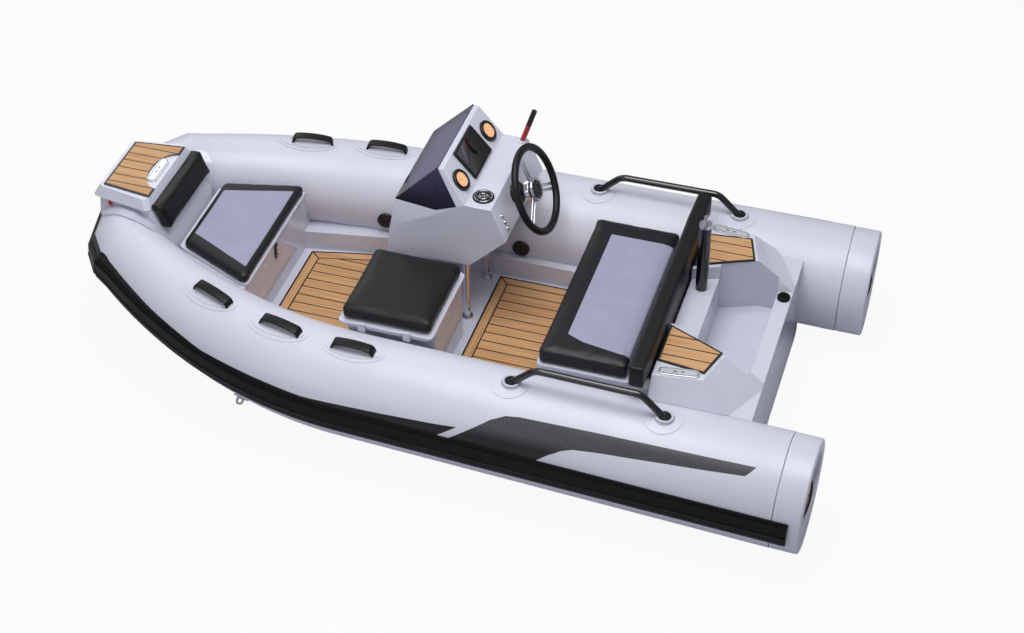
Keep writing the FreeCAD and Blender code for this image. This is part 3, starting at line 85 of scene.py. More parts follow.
def hexColour(text):  # sRGB hex to linear RGBA
    parts = [int(text[i:i + 2], 16) / 255 for i in (1, 3, 5)]
    return tuple(p / 12.92 if p <= 0.04045 else ((p + 0.055) / 1.055) ** 2.4 for p in parts) + (1.0,)


def addNode(tree, kind, inputs=None, **settings):  # inputs are sockets, values or colours in hex
    node = tree.nodes.new(kind)
    for name, value in settings.items():
        setattr(node, name, value)
    for key, value in (inputs or {}).items():
        if isinstance(value, bpy.types.NodeSocket):
            tree.links.new(value, node.inputs[key])
        else:
            node.inputs[key].default_value = hexColour(value) if isinstance(value, str) else value
    return node


def newMaterial(name):  # keeps the material under its name, and gives its empty tree
    material = bpy.data.materials.new(name)
    material.use_nodes = True
    material.node_tree.nodes.clear()
    made[name] = material
    return material.node_tree


def closeMaterial(tree, shader):
    addNode(tree, "ShaderNodeOutputMaterial", {"Surface": shader.outputs[0]})


def surface(tree, colour, gloss, **others):  # the shader that every material but the floor ends in
    inputs = {"Base Color": colour, "Roughness": gloss}
    inputs.update({key.replace("_", " "): value for key, value in others.items()})
    closeMaterial(tree, addNode(tree, "ShaderNodeBsdfPrincipled", inputs))


def relief(tree, height, strength, distance):
    inputs = {"Strength": strength, "Distance": distance, "Height": height}
    return addNode(tree, "ShaderNodeBump", inputs).outputs[0]


def maths(tree, operation, first, second=0.0, third=0.0):
    return addNode(tree, "ShaderNodeMath", {0: first, 1: second, 2: third}, operation=operation).outputs[0]


def mixColour(tree, share, first, second):
    return addNode(tree, "ShaderNodeMix", {0: share, 6: first, 7: second}, data_type="RGBA").outputs[2]


def position(tree):  # the place on the boat
    return addNode(tree, "ShaderNodeTexCoord").outputs["Object"]


def spots(tree, scale, detail=3.0, where=None):  # soft noise at a size in metres
    inputs = {"Vector": where or position(tree), "Scale": 1 / scale, "Detail": detail}
    return addNode(tree, "ShaderNodeTexNoise", inputs).outputs["Fac"]


def ramp(tree, value, low, high, start=0.0, end=1.0):
    return addNode(tree, "ShaderNodeMapRange", {0: value, 1: low, 2: high, 3: start, 4: end}).outputs[0]


def uneven(tree, noise, low, high):  # a roughness that follows a noise
    return ramp(tree, noise, 0.3, 0.7, low, high)


# Materials, each named for what the real one is

drifting = {"size": 0.25, "gloss": 0.15, "relief": 0.35, "coatRough": 0.06}  # shared by the plain finishes

finishes = {  # light and dark colour, roughness, size and height of the grain in millimetres, other inputs
    # calendered synthetic rubber on cloth: satin, with a faint weave telegraphing through
    "coatedCloth": ("#C9CAD6", "#C0C1CF", 0.42, 1.6, 0.12),
    # painted shade: a darker grey for the rim of a glued patch, where its edge is shaded
    "patchEdgeShade": ("#8A8B98", "#7D7E8B", 0.5, 1.5, 0.1),
    # extruded rubber: dull black with fine pull lines
    "extrudedRubber": ("#070708", "#040405", 0.42, 3, 0.2, {"IOR": 1.25}),
    # moulded grey rubber: satin
    "mouldedRubber": ("#BDBECB", "#B1B2C0", 0.5, 1.2, 0.15),
    # moulded black rubber strap: fine pebbled skin
    "strapRubber": ("#0E0E11", "#08080A", 0.4, 1.5, 0.2, {"IOR": 1.33}),
    # polyurethane foam rim: soft leather-like pores
    "foamGrip": ("#121214", "#0B0B0D", 0.42, 1.4, 0.25, {"IOR": 1.36}),
    # injection-moulded cap: faint orange peel
    "mouldedPlastic": ("#CACBD8", "#BFC0CE", 0.34, 4, 0.1),
    # polished gelcoat over glass fibre: wet gloss with a trace of orange peel
    "gelcoat": ("#C9CAD8", "#BFC0CF", 0.24, 5, 0.1, {"Coat_Weight": 0.5}),
    # embossed black upholstery: leather grain, soft sheen
    "blackVinyl": ("#141418", "#0E0E11", 0.44, 2.2, 0.35, {"IOR": 1.36}),
    # drawn and buffed stainless steel
    "polishedSteel": ("#D9DADF", "#C9CAD0", 0.1, 8, 0.05, {"Metallic": 1.0}),
    # brushed stainless casting
    "brushedSteel": ("#E2E3E9", "#D2D3DB", 0.3, 2, 0.04, {"Metallic": 0.6}),
    # black coated steel: gloss with slight peel
    "coatedSteel": ("#0F0F12", "#0A0A0C", 0.16, 6, 0.06, {"Coat_Weight": 0.5}),
    # red anodised aluminium
    "anodisedRed": ("#B3121D", "#9A0E17", 0.28, 3, 0.05, {"Coat_Weight": 0.3}),
    # moulded black ABS: satin
    "blackAbs": ("#121215", "#0C0C0E", 0.28, 3, 0.08),
    # black-printed float glass: mirror smooth
    "printedGlass": ("#07070A", "#0B0B10", 0.05, 40, 0.02, {"Coat_Weight": 0.4}),
    # lamp lenses of dyed polycarbonate
    "redPolycarbonate": ("#B8101A", "#A00C15", 0.08, 5, 0.04, {"Coat_Weight": 0.5}),
    "greenPolycarbonate": ("#0E7A46", "#0B6B3D", 0.08, 5, 0.04, {"Coat_Weight": 0.5}),
    # poured polyurethane caulk: black, rubbery and slightly shiny
    "pouredCaulk": ("#141416", "#0C0C0E", 0.4, 2, 0.1),
}


def makeFinish(name, light, dark, rough, grain, height, others=None):
    # A surface with soft colour drift, uneven gloss and a fine relief of one grain size
    tree = newMaterial(name)
    size, spread = drifting["size"], drifting["gloss"]
    colour = mixColour(tree, spots(tree, size), light, dark)
    gloss = uneven(tree, spots(tree, size / 4), rough * (1 - spread), rough * (1 + spread))
    bump = relief(tree, spots(tree, grain * mm, 2.0), drifting["relief"], height * mm)
    surface(tree, colour, gloss, Normal=bump, Coat_Roughness=drifting["coatRough"], **(others or {}))


for name, values in finishes.items():
    makeFinish(name, *values)


acrylic = {  # painted shade and dark reflection: the colour darkens to the deep tone at the foot and both sides, and clears over the spans of the first three
    "foot": (0.655, 0.72), "farEdgeShade": (-0.575, -0.49), "nearSideShade": (-0.09, -0.15, 0.15, 1.0),
    "tint": ("#615D84", "#555178"), "deep": "#17142A", "drift": 0.2, "rough": (0.03, 0.07), "smears": 0.05,
    "ior": 1.3, "clear": 0.4,
}


def makeAcrylic():  # cast acrylic, tinted violet in the mass, with painted shade darkening its foot and both sides
    tree = newMaterial("castAcrylic")
    across, up = addNode(tree, "ShaderNodeSeparateXYZ", {0: position(tree)}).outputs[1:]
    foot = ramp(tree, up, *acrylic["foot"])
    farEdgeShade = ramp(tree, across, *acrylic["farEdgeShade"])
    nearSideShade = ramp(tree, across, *acrylic["nearSideShade"])
    # painted shade: where depth is low, the deep tone of shade and reflection takes the place of the tint
    depth = maths(tree, "MULTIPLY", maths(tree, "MULTIPLY", foot, farEdgeShade), nearSideShade)
    drift = mixColour(tree, spots(tree, acrylic["drift"]), *acrylic["tint"])
    colour = mixColour(tree, depth, acrylic["deep"], drift)
    gloss = uneven(tree, spots(tree, acrylic["smears"]), *acrylic["rough"])
    surface(tree, colour, gloss, IOR=acrylic["ior"], Transmission_Weight=acrylic["clear"])


teakSheet = {
    "along": (4, 160, 160), "across": (160, 4, 160),  # how the grain is drawn out, for planks either way
    "brown": ("#C79C70", "#A97C50"), "contrast": (0.35, 0.68), "rough": (0.5, 0.62),
    "relief": 0.3, "depth": 0.3 * mm,
}


def makeTeak(name, drawn):  # synthetic teak: extruded planks with a drawn grain, brushed matt
    tree = newMaterial(name)
    longWay = addNode(tree, "ShaderNodeMapping", {"Vector": position(tree), "Scale": drawn}).outputs[0]
    streak = spots(tree, 1.0, 4.0, longWay)
    colour = mixColour(tree, ramp(tree, streak, *teakSheet["contrast"]), *teakSheet["brown"])
    bump = relief(tree, streak, teakSheet["relief"], teakSheet["depth"])
    surface(tree, colour, uneven(tree, streak, *teakSheet["rough"]), Normal=bump)


makeAcrylic()
makeTeak("syntheticTeak", teakSheet["along"])
makeTeak("syntheticTeakAcross", teakSheet["across"])

slotFinish = {
    "tube_fabric": "coatedCloth", "rub_rubber": "extrudedRubber", "base_rubber": "mouldedRubber",
    "strap_rubber": "strapRubber", "rim_rubber": "foamGrip", "cap_plastic": "mouldedPlastic",
    "hull_gelcoat": "gelcoat", "deck_gelcoat": "gelcoat", "seat_vinyl": "blackVinyl",
    "polished_steel": "polishedSteel", "black_steel": "coatedSteel", "black_plastic": "blackAbs",
    "tinted_acrylic": "castAcrylic", "teak": "syntheticTeak",
}


def dress(item, *names):  # gives a piece its materials, in the order of its faces' indices
    item.data.materials.clear()
    for name in names:
        item.data.materials.append(made[name])
    return item


def linesCurve(tree, value, points, low, high):  # a value read off a row of points, straight between them
    start, end = points[0][0], points[-1][0]
    node = addNode(tree, "ShaderNodeFloatCurve", {"Value": ramp(tree, value, start, end)})
    curve = node.mapping.curves[0]
    places = [((x - start) / (end - start), (z - low) / (high - low)) for x, z in points]
    curve.points[0].location = places[0]
    curve.points[-1].location = places[-1]
    for place in places[1:-1]:
        curve.points.new(*place)
    for point in curve.points:
        point.handle_type = "VECTOR"
    node.mapping.update()
    return ramp(tree, node.outputs[0], 0, 1, low, high)


graphic = {  # places in metres along the boat and above the water
    "middle": [(-0.3, 0.644), (1.542, 0.613), (1.85, 0.572), (2.1, 0.521), (2.35, 0.447), (2.573, 0.332),
               (2.614, 0.309), (2.654, 0.259), (2.732, 0.0)],
    "bandTop": [(1.0, 0.366), (1.143, 0.356), (1.362, 0.348), (1.69, 0.341), (2.144, 0.375), (2.401, 0.433),
                (2.633, 0.499), (2.664, 0.515), (2.9, 0.515)],
    "bandLow": [(1.0, 0.27), (1.542, 0.27), (1.85, 0.285), (2.1, 0.31), (2.35, 0.355), (2.573, 0.4),
                (2.9, 0.42)],
    "bandEnd": (0.363, 1.577, 1.057),  # its aft end: a height, the slant and the place at that height
    "strokeTop": [(-0.071, 0.431), (0.139, 0.431), (0.517, 0.431), (0.825, 0.429), (0.88, 0.425),
                  (0.935, 0.407), (1.004, 0.367), (1.094, 0.309)],
    "strokeLow": [(-0.071, 0.431), (-0.037, 0.407), (0.202, 0.396), (0.502, 0.382), (0.609, 0.374),
                  (0.651, 0.361), (0.698, 0.336), (0.749, 0.3), (0.9, 0.28), (1.094, 0.308)],
    "strokeEnds": (-0.071, 1.094),
    "levels": (0.2, 0.6), "halfWidths": (0.0, 0.7),  # spans that the rows of points are read within
    "ink": "#060608", "carbon": ("#303038", "#3C3C45"), "carbonFoot": "#0A0A0D", "fade": (0.385, 0.345),
    "weave": 7 * mm, "drift": 0.3, "rough": (0.36, 0.46),
    "tubes": ("tube_port", "tube_starboard", "bow_tube_port", "bow_tube_starboard"),
}


def makeTubeCloth():  # coated cloth with a printed black band and a carbon-look stroke on the outboard side
    tree = newMaterial("printedCloth")
    where = position(tree)
    along, across, up = addNode(tree, "ShaderNodeSeparateXYZ", {0: where}).outputs

    def both(first, second):
        return maths(tree, "MULTIPLY", first, second)

    def above(value, low):
        return maths(tree, "GREATER_THAN", value, low)

    def below(value, high):
        return maths(tree, "LESS_THAN", value, high)

    def line(name, levels="levels"):
        return linesCurve(tree, along, graphic[name], *graphic[levels])

    outboard = above(maths(tree, "ABSOLUTE", across), line("middle", "halfWidths"))
    height, slant, place = graphic["bandEnd"]
    bandEnd = maths(tree, "MULTIPLY_ADD", maths(tree, "SUBTRACT", height, up), slant, place)
    band = both(both(above(up, line("bandLow")), below(up, line("bandTop"))), outboard)
    band = both(band, above(along, bandEnd))
    stroke = both(both(above(up, line("strokeLow")), below(up, line("strokeTop"))), outboard)
    aftEnd, foreEnd = graphic["strokeEnds"]
    stroke = both(stroke, both(above(along, aftEnd), below(along, foreEnd)))

    light, dark, _, grain, height = finishes["coatedCloth"]
    drift = spots(tree, graphic["drift"])
    cloth = mixColour(tree, drift, light, dark)
    weave = addNode(tree, "ShaderNodeTexChecker", {"Vector": where, "Scale": 1 / graphic["weave"]})
    carbon = mixColour(tree, weave.outputs["Fac"], *graphic["carbon"])
    carbon = mixColour(tree, ramp(tree, up, *graphic["fade"]), carbon, graphic["carbonFoot"])
    ink = mixColour(tree, stroke, graphic["ink"], carbon)
    colour = mixColour(tree, maths(tree, "MAXIMUM", band, stroke), cloth, ink)
    bump = relief(tree, spots(tree, grain * mm, 2.0), drifting["relief"], height * mm)
    surface(tree, colour, uneven(tree, drift, *graphic["rough"]), Normal=bump)


makeTubeCloth()
for node, slot in slotOf.items():
    dress(nodes[node], slotFinish[slot])
for node in graphic["tubes"]:
    dress(nodes[node], "printedCloth")
print("materials on the frame's nodes")


# Modelling helpers

def alone(item):  # selects one object and makes it active
    bpy.ops.object.select_all(action="DESELECT")
    item.select_set(True)
    bpy.context.view_layer.objects.active = item


def add(kind, name, **values):  # a primitive to shape, alone in edit mode
    bpy.ops.object.select_all(action="DESELECT")
    getattr(bpy.ops.mesh, "primitive_%s_add" % kind)(**values)
    item = bpy.context.object
    item.name = name
    bpy.ops.object.transform_apply(location=False, rotation=True, scale=True)
    bpy.ops.object.mode_set(mode="EDIT")
    return item


def edit(item):  # into edit mode with the whole piece selected
    alone(item)
    bpy.ops.object.mode_set(mode="EDIT")
    bpy.ops.mesh.select_all(action="SELECT")


def leave():  # out of edit mode
    bpy.ops.object.mode_set(mode="OBJECT")


def pick(item, rule, kind="FACE"):  # selects the faces, edges or vertices that the rule accepts
    bpy.ops.mesh.select_mode(type=kind)
    bpy.ops.mesh.select_all(action="DESELECT")
    mesh = bmesh.from_edit_mesh(item.data)
    row = {"FACE": mesh.faces, "EDGE": mesh.edges, "VERT": mesh.verts}[kind]
    for part in row:
        if rule(part):
            part.select_set(True)
    bmesh.update_edit_mesh(item.data)


def facesUp(face):
    return face.normal.z > 0.99


def smooth(item, angle):  # smooth but for edges sharper than the angle in degrees
    alone(item)
    bpy.ops.object.shade_smooth_by_angle(angle=math.radians(angle))


def done(item, angle=None):  # leaves edit mode with the place in the mesh
    leave()
    bpy.ops.object.transform_apply(location=True, rotation=True, scale=True)
    if angle is not None:
        smooth(item, angle)
    return item


def modify(item, kind, **values):
    alone(item)
    modifier = item.modifiers.new(kind.lower(), kind)
    for name, value in values.items():
        setattr(modifier, name, value)
    bpy.ops.object.modifier_apply(modifier=modifier.name)


def outwards(item):
    edit(item)
    bpy.ops.mesh.normals_make_consistent(inside=False)
    leave()


def join(items, name):
    alone(items[0])
    for item in items:
        item.select_set(True)
    bpy.ops.object.join()
    items[0].name = name
    return items[0]


def mirrorTwin(item):  # adds the starboard copy to a port piece
    alone(item)
    bpy.ops.object.duplicate()
    twin = bpy.context.object
    edit(twin)
    bpy.ops.transform.mirror(constraint_axis=(False, True, False), center_override=(0, 0, 0))
    leave()
    outwards(twin)
    return join([item, twin], item.name)


def nodeCopy(node, name):  # a merged copy of a CAD node's mesh to finish
    source = nodes[node]
    item = source.copy()
    item.data = source.data.copy()
    item.name = name
    bpy.context.collection.objects.link(item)
    edit(item)
    bpy.ops.mesh.remove_doubles(threshold=0.05 * mm)
    leave()
    return item


def finish(item, body, slot, *replaced):
    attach(item, body)
    if replaced:
        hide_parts(*replaced)


# Shapes that several pieces start from

def stretch(shares):  # scales what is selected, away from the origin
    bpy.ops.transform.resize(value=shares, center_override=(0, 0, 0))


def disc(name, radius, height, bevel, dish=0.0, rim=0.0):  # a round plate, dished within a rim if asked
    item = add("cylinder", name, radius=radius, depth=height, vertices=48, location=(0, 0, height / 2))
    pick(item, facesUp)
    bpy.ops.mesh.bevel(offset=bevel, segments=3, affect="EDGES")
    if dish:
        pick(item, lambda face: facesUp(face) and face.calc_center_median().length < radius)
        bpy.ops.mesh.inset(thickness=radius * rim, depth=0)
        bpy.ops.mesh.inset(thickness=dish, depth=-dish)
    return done(item, 40)


hoopHeight = 0.9  # of its thickness


def hoop(name, major, minor, sides=48, tube=12):  # a ring a little flatter than round
    item = add("torus", name, major_radius=major, minor_radius=minor, major_segments=sides,
               minor_segments=tube)
    bpy.ops.transform.resize(value=(1, 1, hoopHeight))
    return done(item, 60)


def bar(name, size, bevel, place=(0, 0, 0)):  # a bar with rounded edges, standing on its place
    item = add("cube", name, size=1, location=(0, 0, 0.5))
    stretch(size)
    bpy.ops.mesh.bevel(offset=bevel, segments=3, affect="EDGES")
    bpy.ops.transform.translate(value=place)
    return done(item, 40)


def dome(name, radius, level, squash):  # a rounded cap, half sunk at its level
    item = add("uv_sphere", name, radius=radius, segments=24, ring_count=12, location=(0, 0, level))
    bpy.ops.transform.resize(value=(1, 1, squash), center_override=(0, 0, level))
    return done(item, 60)


def moved(item, spot=(0, 0, 0), turn=0):  # shifts a piece once it is turned by degrees about the upright
    item.data.transform(Matrix.Translation(spot) @ Matrix.Rotation(math.radians(turn), 4, "Z"))
    return item


def standOn(item, spot, out):  # turns a piece built upright to stand on a spot
    turn = Vector((0, 0, 1)).rotation_difference(Vector(out)).to_matrix().to_4x4()
    item.data.transform(Matrix.Translation(Vector(spot)) @ turn)
    return item


def onFace(item, face, across=0.0, lift=0.0, out=0.0):  # turns a piece built flat on the ground onto a face
    side = face["up"].cross(face["out"])
    spot = face["middle"] + side * across + face["up"] * lift + face["out"] * out
    turn = Matrix((side, face["up"], face["out"])).transposed().to_4x4()
    item.data.transform(Matrix.Translation(spot) @ turn)
    item.data.update()
    return item


def nodeIslands(node):  # the middle of each separate solid of a node, and the way it faces outwards
    item = nodeCopy(node, "islands")
    edit(item)
    bpy.ops.mesh.separate(type="LOOSE")
    leave()
    found = []
    for part in list(bpy.context.selected_objects):
        flat = max(part.data.polygons, key=lambda face: face.area)
        faces = [face for face in part.data.polygons if face.normal.dot(flat.normal) > 0.999]
        area = sum(face.area for face in faces)
        spot = sum((face.center * face.area for face in faces), Vector()) / area
        found.append((spot, flat.normal.copy()))
        bpy.data.objects.remove(part)
    return found


# Synthetic teak pads: planks between black caulked seams, with a mitred border plank

teak = {
    "caulk": 0.0055,
    "rim": 0.005,  # black edge of the sheet round the planks
    "rounding": 0.0006,
    "oversize": 1.2, "within": 0.98,  # of the sheet that is cut, and of a plank's way in from the outline
    "acrossRatio": 1.6,  # a plank wider than this many times its length lies across the boat
    "notch": {"spot": (2.568, 0, 0.645), "half": (0.074, 0.122, 1), "depth": 0.05},  # round the bow cleat
    "pads": {  # outline, level, thickness, plank width, border plank's width
        "floorAft": ([(0.848, -0.362), (1.254, -0.362), (1.254, 0.362), (0.848, 0.362)],
                     0.1203, 0.006, 0.053, 0.04),
        "floorFore": ([(1.68, -0.362), (1.734, -0.362), (2.079, -0.282), (2.079, 0.282), (1.734, 0.362),
                       (1.68, 0.362)], 0.1203, 0.006, 0.053, 0.04),
        "quarterPort": ([(0.393, 0.188), (0.393, 0.4), (0.206, 0.422), (0.166, 0.29)],
                        0.5253, 0.006, 0.05, 0),
        "bow": ([(2.57, -0.178), (2.782, -0.151), (2.782, 0.151), (2.57, 0.178)],
                0.6403, 0.006, 0.05, 0),
    },
}


def outlineSides(outline):  # the start of each side of a convex outline, and the way out from it
    middle = sum((Vector(point) for point in outline), Vector((0, 0))) / len(outline)
    for index, point in enumerate(outline):
        start = Vector(point)
        along = (Vector(outline[(index + 1) % len(outline)]) - start).normalized()
        out = Vector((along.y, -along.x))
        yield start, -out if out.dot(middle - start) > 0 else out


def insideBy(spot, outline):  # how far a point lies inside a convex outline
    return min(-out.dot(spot.xy - start) for start, out in outlineSides(outline))


def trim(outline):  # cuts the flat sheet in edit mode to a convex outline
    for start, out in outlineSides(outline):
        bpy.ops.mesh.select_all(action="SELECT")
        bpy.ops.mesh.bisect(plane_co=(*start, 0), plane_no=(*out, 0), clear_outer=True)


def liesAcross(mesh, face):
    corners = [mesh.vertices[index].co for index in face.vertices]
    spans = [max(spot[axis] for spot in corners) - min(spot[axis] for spot in corners) for axis in (0, 1)]
    return spans[1] > spans[0] * teak["acrossRatio"]


def makePad(name, outline, level, thickness, plank, border):
    low = [min(point[axis] for point in outline) for axis in (0, 1)]
    high = [max(point[axis] for point in outline) for axis in (0, 1)]
    size = max(high[0] - low[0], high[1] - low[1]) * teak["oversize"]
    item = add("plane", name, size=size, location=((low[0] + high[0]) / 2, (low[1] + high[1]) / 2, 0))
    dress(done(item), "syntheticTeak", "pouredCaulk", "syntheticTeakAcross")
    edit(item)
    trim(outline)
    bpy.ops.mesh.select_all(action="SELECT")
    bpy.ops.mesh.inset(thickness=teak["rim"], depth=0, use_boundary=True)
    for face in bmesh.from_edit_mesh(item.data).faces:
        face.material_index = 0 if face.select else 1
    if border:
        bpy.ops.mesh.inset(thickness=border, depth=0, use_boundary=True)
    reach = teak["rim"] + border
    count = max(1, round((high[1] - low[1] - 2 * reach) / plank))
    wide = (high[1] - low[1] - 2 * reach) / count

    def isInner(face):
        return all(insideBy(vert.co, outline) > reach * teak["within"] for vert in face.verts)

    for index in range(1, count):
        pick(item, isInner)
        bpy.ops.mesh.bisect(plane_co=(0, low[1] + reach + wide * index, 0), plane_no=(0, 1, 0))
    pick(item, lambda face: face.material_index == 0)
    bpy.ops.mesh.inset(thickness=teak["caulk"] / 2, depth=0, use_individual=True)
    leave()
    for face in item.data.polygons:
        if face.select:
            face.material_index = 2 if liesAcross(item.data, face) else 0
        else:
            face.material_index = 1
    edit(item)
    bpy.ops.transform.translate(value=(0, 0, level + thickness))
    pick(item, lambda face: face.material_index != 1)
    bpy.ops.mesh.inset(thickness=teak["rounding"], depth=teak["rounding"], use_individual=True)
    done(item)
    modify(item, "SOLIDIFY", thickness=thickness, offset=-1)
    return item


def makeTeakPads():
    pads = {name: makePad(name, *values) for name, values in teak["pads"].items()}
    floor = join([pads["floorAft"], pads["floorFore"]], "floorPads")
    quarter = mirrorTwin(pads["quarterPort"])
    notch = add("cylinder", "notch", radius=1, depth=teak["notch"]["depth"], vertices=40, location=(0, 0, 0))
    stretch(teak["notch"]["half"])
    bpy.ops.transform.translate(value=teak["notch"]["spot"])
    dress(done(notch), "pouredCaulk")
    modify(pads["bow"], "BOOLEAN", object=notch, operation="DIFFERENCE", solver="EXACT",
           material_mode="TRANSFER")
    bpy.data.objects.remove(notch)
    finish(floor, "boat", "teak", "teak_floor")
    finish(join([quarter, pads["bow"]], "deckPads"), "boat", "teak", "teak_decks")


makeTeakPads()
print("teak pads")


# Padded seats: sewn vinyl covers over foam, swelled by cloth simulation

covers = {
    "twoToneVinyl": ("#9799B0", "#141419"),  # colours inside the seam and outside it
    "sewnBlackVinyl": ("#09090B", "#0C0C0F"),
    # painted shade of creases: a near-black mixed in by soft noise
    "crease": "#0B0B0D", "creaseShare": 0.18, "creaseSize": 90 * mm,
    "seam": "#0A0A0C", "seamWidth": 2.6 * mm,
    "grain": 2.4 * mm, "grainShare": 0.12, "relief": 0.6, "depth": 1.2 * mm,
    "rough": (0.38, 0.5), "ior": 1.38,
}


def makeCover(name, inner, outer):  # upholstery vinyl in two colours that meet in a sewn seam, with painted crease shade in soft dark patches
    tree = newMaterial(name)
    edge = addNode(tree, "ShaderNodeAttribute", attribute_name="panel").outputs["Fac"]
    seam = ramp(tree, maths(tree, "ABSOLUTE", edge), 0.0, covers["seamWidth"])
    grain = spots(tree, covers["grain"])
    # painted shade: noise darkens the vinyl in soft patches, standing for the shade of creases
    creases = maths(tree, "MULTIPLY", spots(tree, covers["creaseSize"], 2.0), covers["creaseShare"])
    colour = mixColour(tree, maths(tree, "GREATER_THAN", edge, 0.0), outer, inner)
    colour = mixColour(tree, creases, colour, covers["crease"])
    colour = mixColour(tree, seam, covers["seam"], colour)
    height = maths(tree, "ADD", maths(tree, "MULTIPLY", grain, covers["grainShare"]), seam)
    bump = relief(tree, height, covers["relief"], covers["depth"])
    surface(tree, colour, uneven(tree, grain, *covers["rough"]), Normal=bump, IOR=covers["ior"])


for name in ("twoToneVinyl", "sewnBlackVinyl"):
    makeCover(name, *covers[name])

cushions = {
    "voxel": 0.0075, "tightening": 0.75,  # how much of the swell is taken off the foam beforehand
    "pressure": 4, "quality": 5, "steps": 20,
    "topBand": 0.005, "sides": -0.05,  # further than the band below the middle, all shows the outer colour
    "least": 0.0001,  # keeps a plain pad above zero, with its seam along the boat's middle
    "rows": {  # body, cover, most that the cover may swell, outline of the inner panel
        "bench_cushion": ("bench_seat", "twoToneVinyl", 0.009,
                          [(0.40, -0.33), (0.768, -0.33), (0.768, 0.315), (0.70, 0.345), (0.55, 0.37),
                           (0.40, 0.375)]),
        "box_seat_cushion": ("box_seat", "sewnBlackVinyl", 0.009,
                             [(1.31, 0.04), (1.64, 0.04), (1.64, 0.405), (1.31, 0.405)]),
        "bow_cushion": ("bow_seat", "twoToneVinyl", 0.005,
                        [(2.13, -0.262), (2.40, -0.15), (2.40, 0.15), (2.13, 0.262)]),
        "backrest": ("boat", "sewnBlackVinyl", 0.006, None),
        "bow_bolster": ("boat", "sewnBlackVinyl", 0.006, None),
    },
}


def swell(item, cap):  # blows the pad up a little and lets no point move past the cap
    start = [vert.co.copy() for vert in item.data.vertices]
    cloth = item.modifiers.new("cloth", "CLOTH")
    cloth.settings.use_pressure = True
    cloth.settings.uniform_pressure_force = cushions["pressure"]
    cloth.settings.effector_weights.gravity = 0
    cloth.settings.quality = cushions["quality"]
    scene = bpy.context.scene
    for number in range(1, cushions["steps"] + 1):
        scene.frame_set(number)
    graph = bpy.context.evaluated_depsgraph_get()
    blown = [vert.co.copy() for vert in item.evaluated_get(graph).data.vertices]
    item.modifiers.remove(cloth)
    scene.frame_set(1)
    for vert, before, after in zip(item.data.vertices, start, blown):
        step = after - before
        if step.length > cap:
            step *= cap / step.length
        vert.co = before + step


def seamReach(spot, panel, middle, node):  # signed distance to the seam, above zero on the inner panel
    if panel is None:
        return abs(spot.y) + cushions["least"]
    isTop = spot.z > middle.z - cushions["topBand"] or node == "bow_cushion"
    return insideBy(spot, panel) if isTop else cushions["sides"]


def makeCushion(node, body, cover, cap, panel):
    item = nodeCopy(node, node + "_sewn")
    low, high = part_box(node)
    middle = (low + high) / 2
    shrink = [1 - 2 * cap * cushions["tightening"] / (high[axis] - low[axis]) for axis in range(3)]
    for vert in item.data.vertices:
        vert.co = Vector([middle[axis] + (vert.co[axis] - middle[axis]) * shrink[axis] for axis in range(3)])
    modify(item, "REMESH", mode="VOXEL", voxel_size=cushions["voxel"], adaptivity=0)
    swell(item, cap)
    modify(item, "SMOOTH", factor=0.5, iterations=3)
    modify(item, "SUBSURF", levels=1, render_levels=1)
    attribute = item.data.attributes.new("panel", "FLOAT", "POINT")
    for vert in item.data.vertices:
        attribute.data[vert.index].value = seamReach(vert.co, panel, middle, node)
    alone(item)
    bpy.ops.object.shade_smooth()
    dress(item, cover)
    finish(item, body, "seat_vinyl", node)


for node, values in cushions["rows"].items():
    makeCushion(node, *values)
    print("cushion", node)


# Moulded parts with their edges rounded as a mould leaves them

mouldAngles = {"flat": 2, "edge": 35, "smooth": 30}  # degrees
mouldings = {  # the body, and the radius of each piece's edges
    "boat": {
        "console_body": 0.005, "stern_moulding": 0.006, "bow_step": 0.0035, "tube_end_port": 0.012,
        "tube_end_starboard": 0.012, "deck_liner": 0.004, "bench_base": 0.004, "box_seat_base": 0.004,
        "bow_locker": 0.004, "transom": 0.004,
    },
    "bench_seat": {"bench_lid": 0.003},
    "box_seat": {"box_seat_lid": 0.003},
    "bow_seat": {"bow_lid": 0.003},
}


def makeMoulding(node, body, width):
    item = nodeCopy(node, node + "_moulded")
    edit(item)
    bpy.ops.mesh.dissolve_limited(angle_limit=math.radians(mouldAngles["flat"]))
    leave()
    modify(item, "BEVEL", width=width, segments=3, limit_method="ANGLE", use_clamp_overlap=True,
           angle_limit=math.radians(mouldAngles["edge"]), miter_outer="MITER_ARC")
    smooth(item, mouldAngles["smooth"])
    modify(item, "WEIGHTED_NORMAL", keep_sharp=True)
    finish(item, body, slotOf[node], node)


for body, widths in mouldings.items():
    for node, width in widths.items():
        makeMoulding(node, body, width)
print("moulded edges")


# Dash: display, two gauges, speaker grille and three buttons, on the console's leaning faces

faceGap = 0.0004  # how far a fitting stands clear of its face
dashFace = {"middle": Vector((1.362, -0.3225, 0.762)), "out": Vector((-0.7495, 0, 0.662)),
            "up": Vector((0.662, 0, 0.7495))}
helmFace = {"middle": Vector((1.08094, -0.3, 0.67108)), "out": Vector((-0.9093, 0, 0.4162)),
            "up": Vector((0.4162, 0, 0.9093))}

display = {
    "size": (0.206, 0.142, 0.0115), "rounding": 0.003, "across": 0.016, "lift": 0.006,
    "frame": 0.007, "step": (0.0015, 0.0018),  # the glass is set back by the second
    "glassArea": 0.01,  # square metres, less than the glass and more than any other face
}


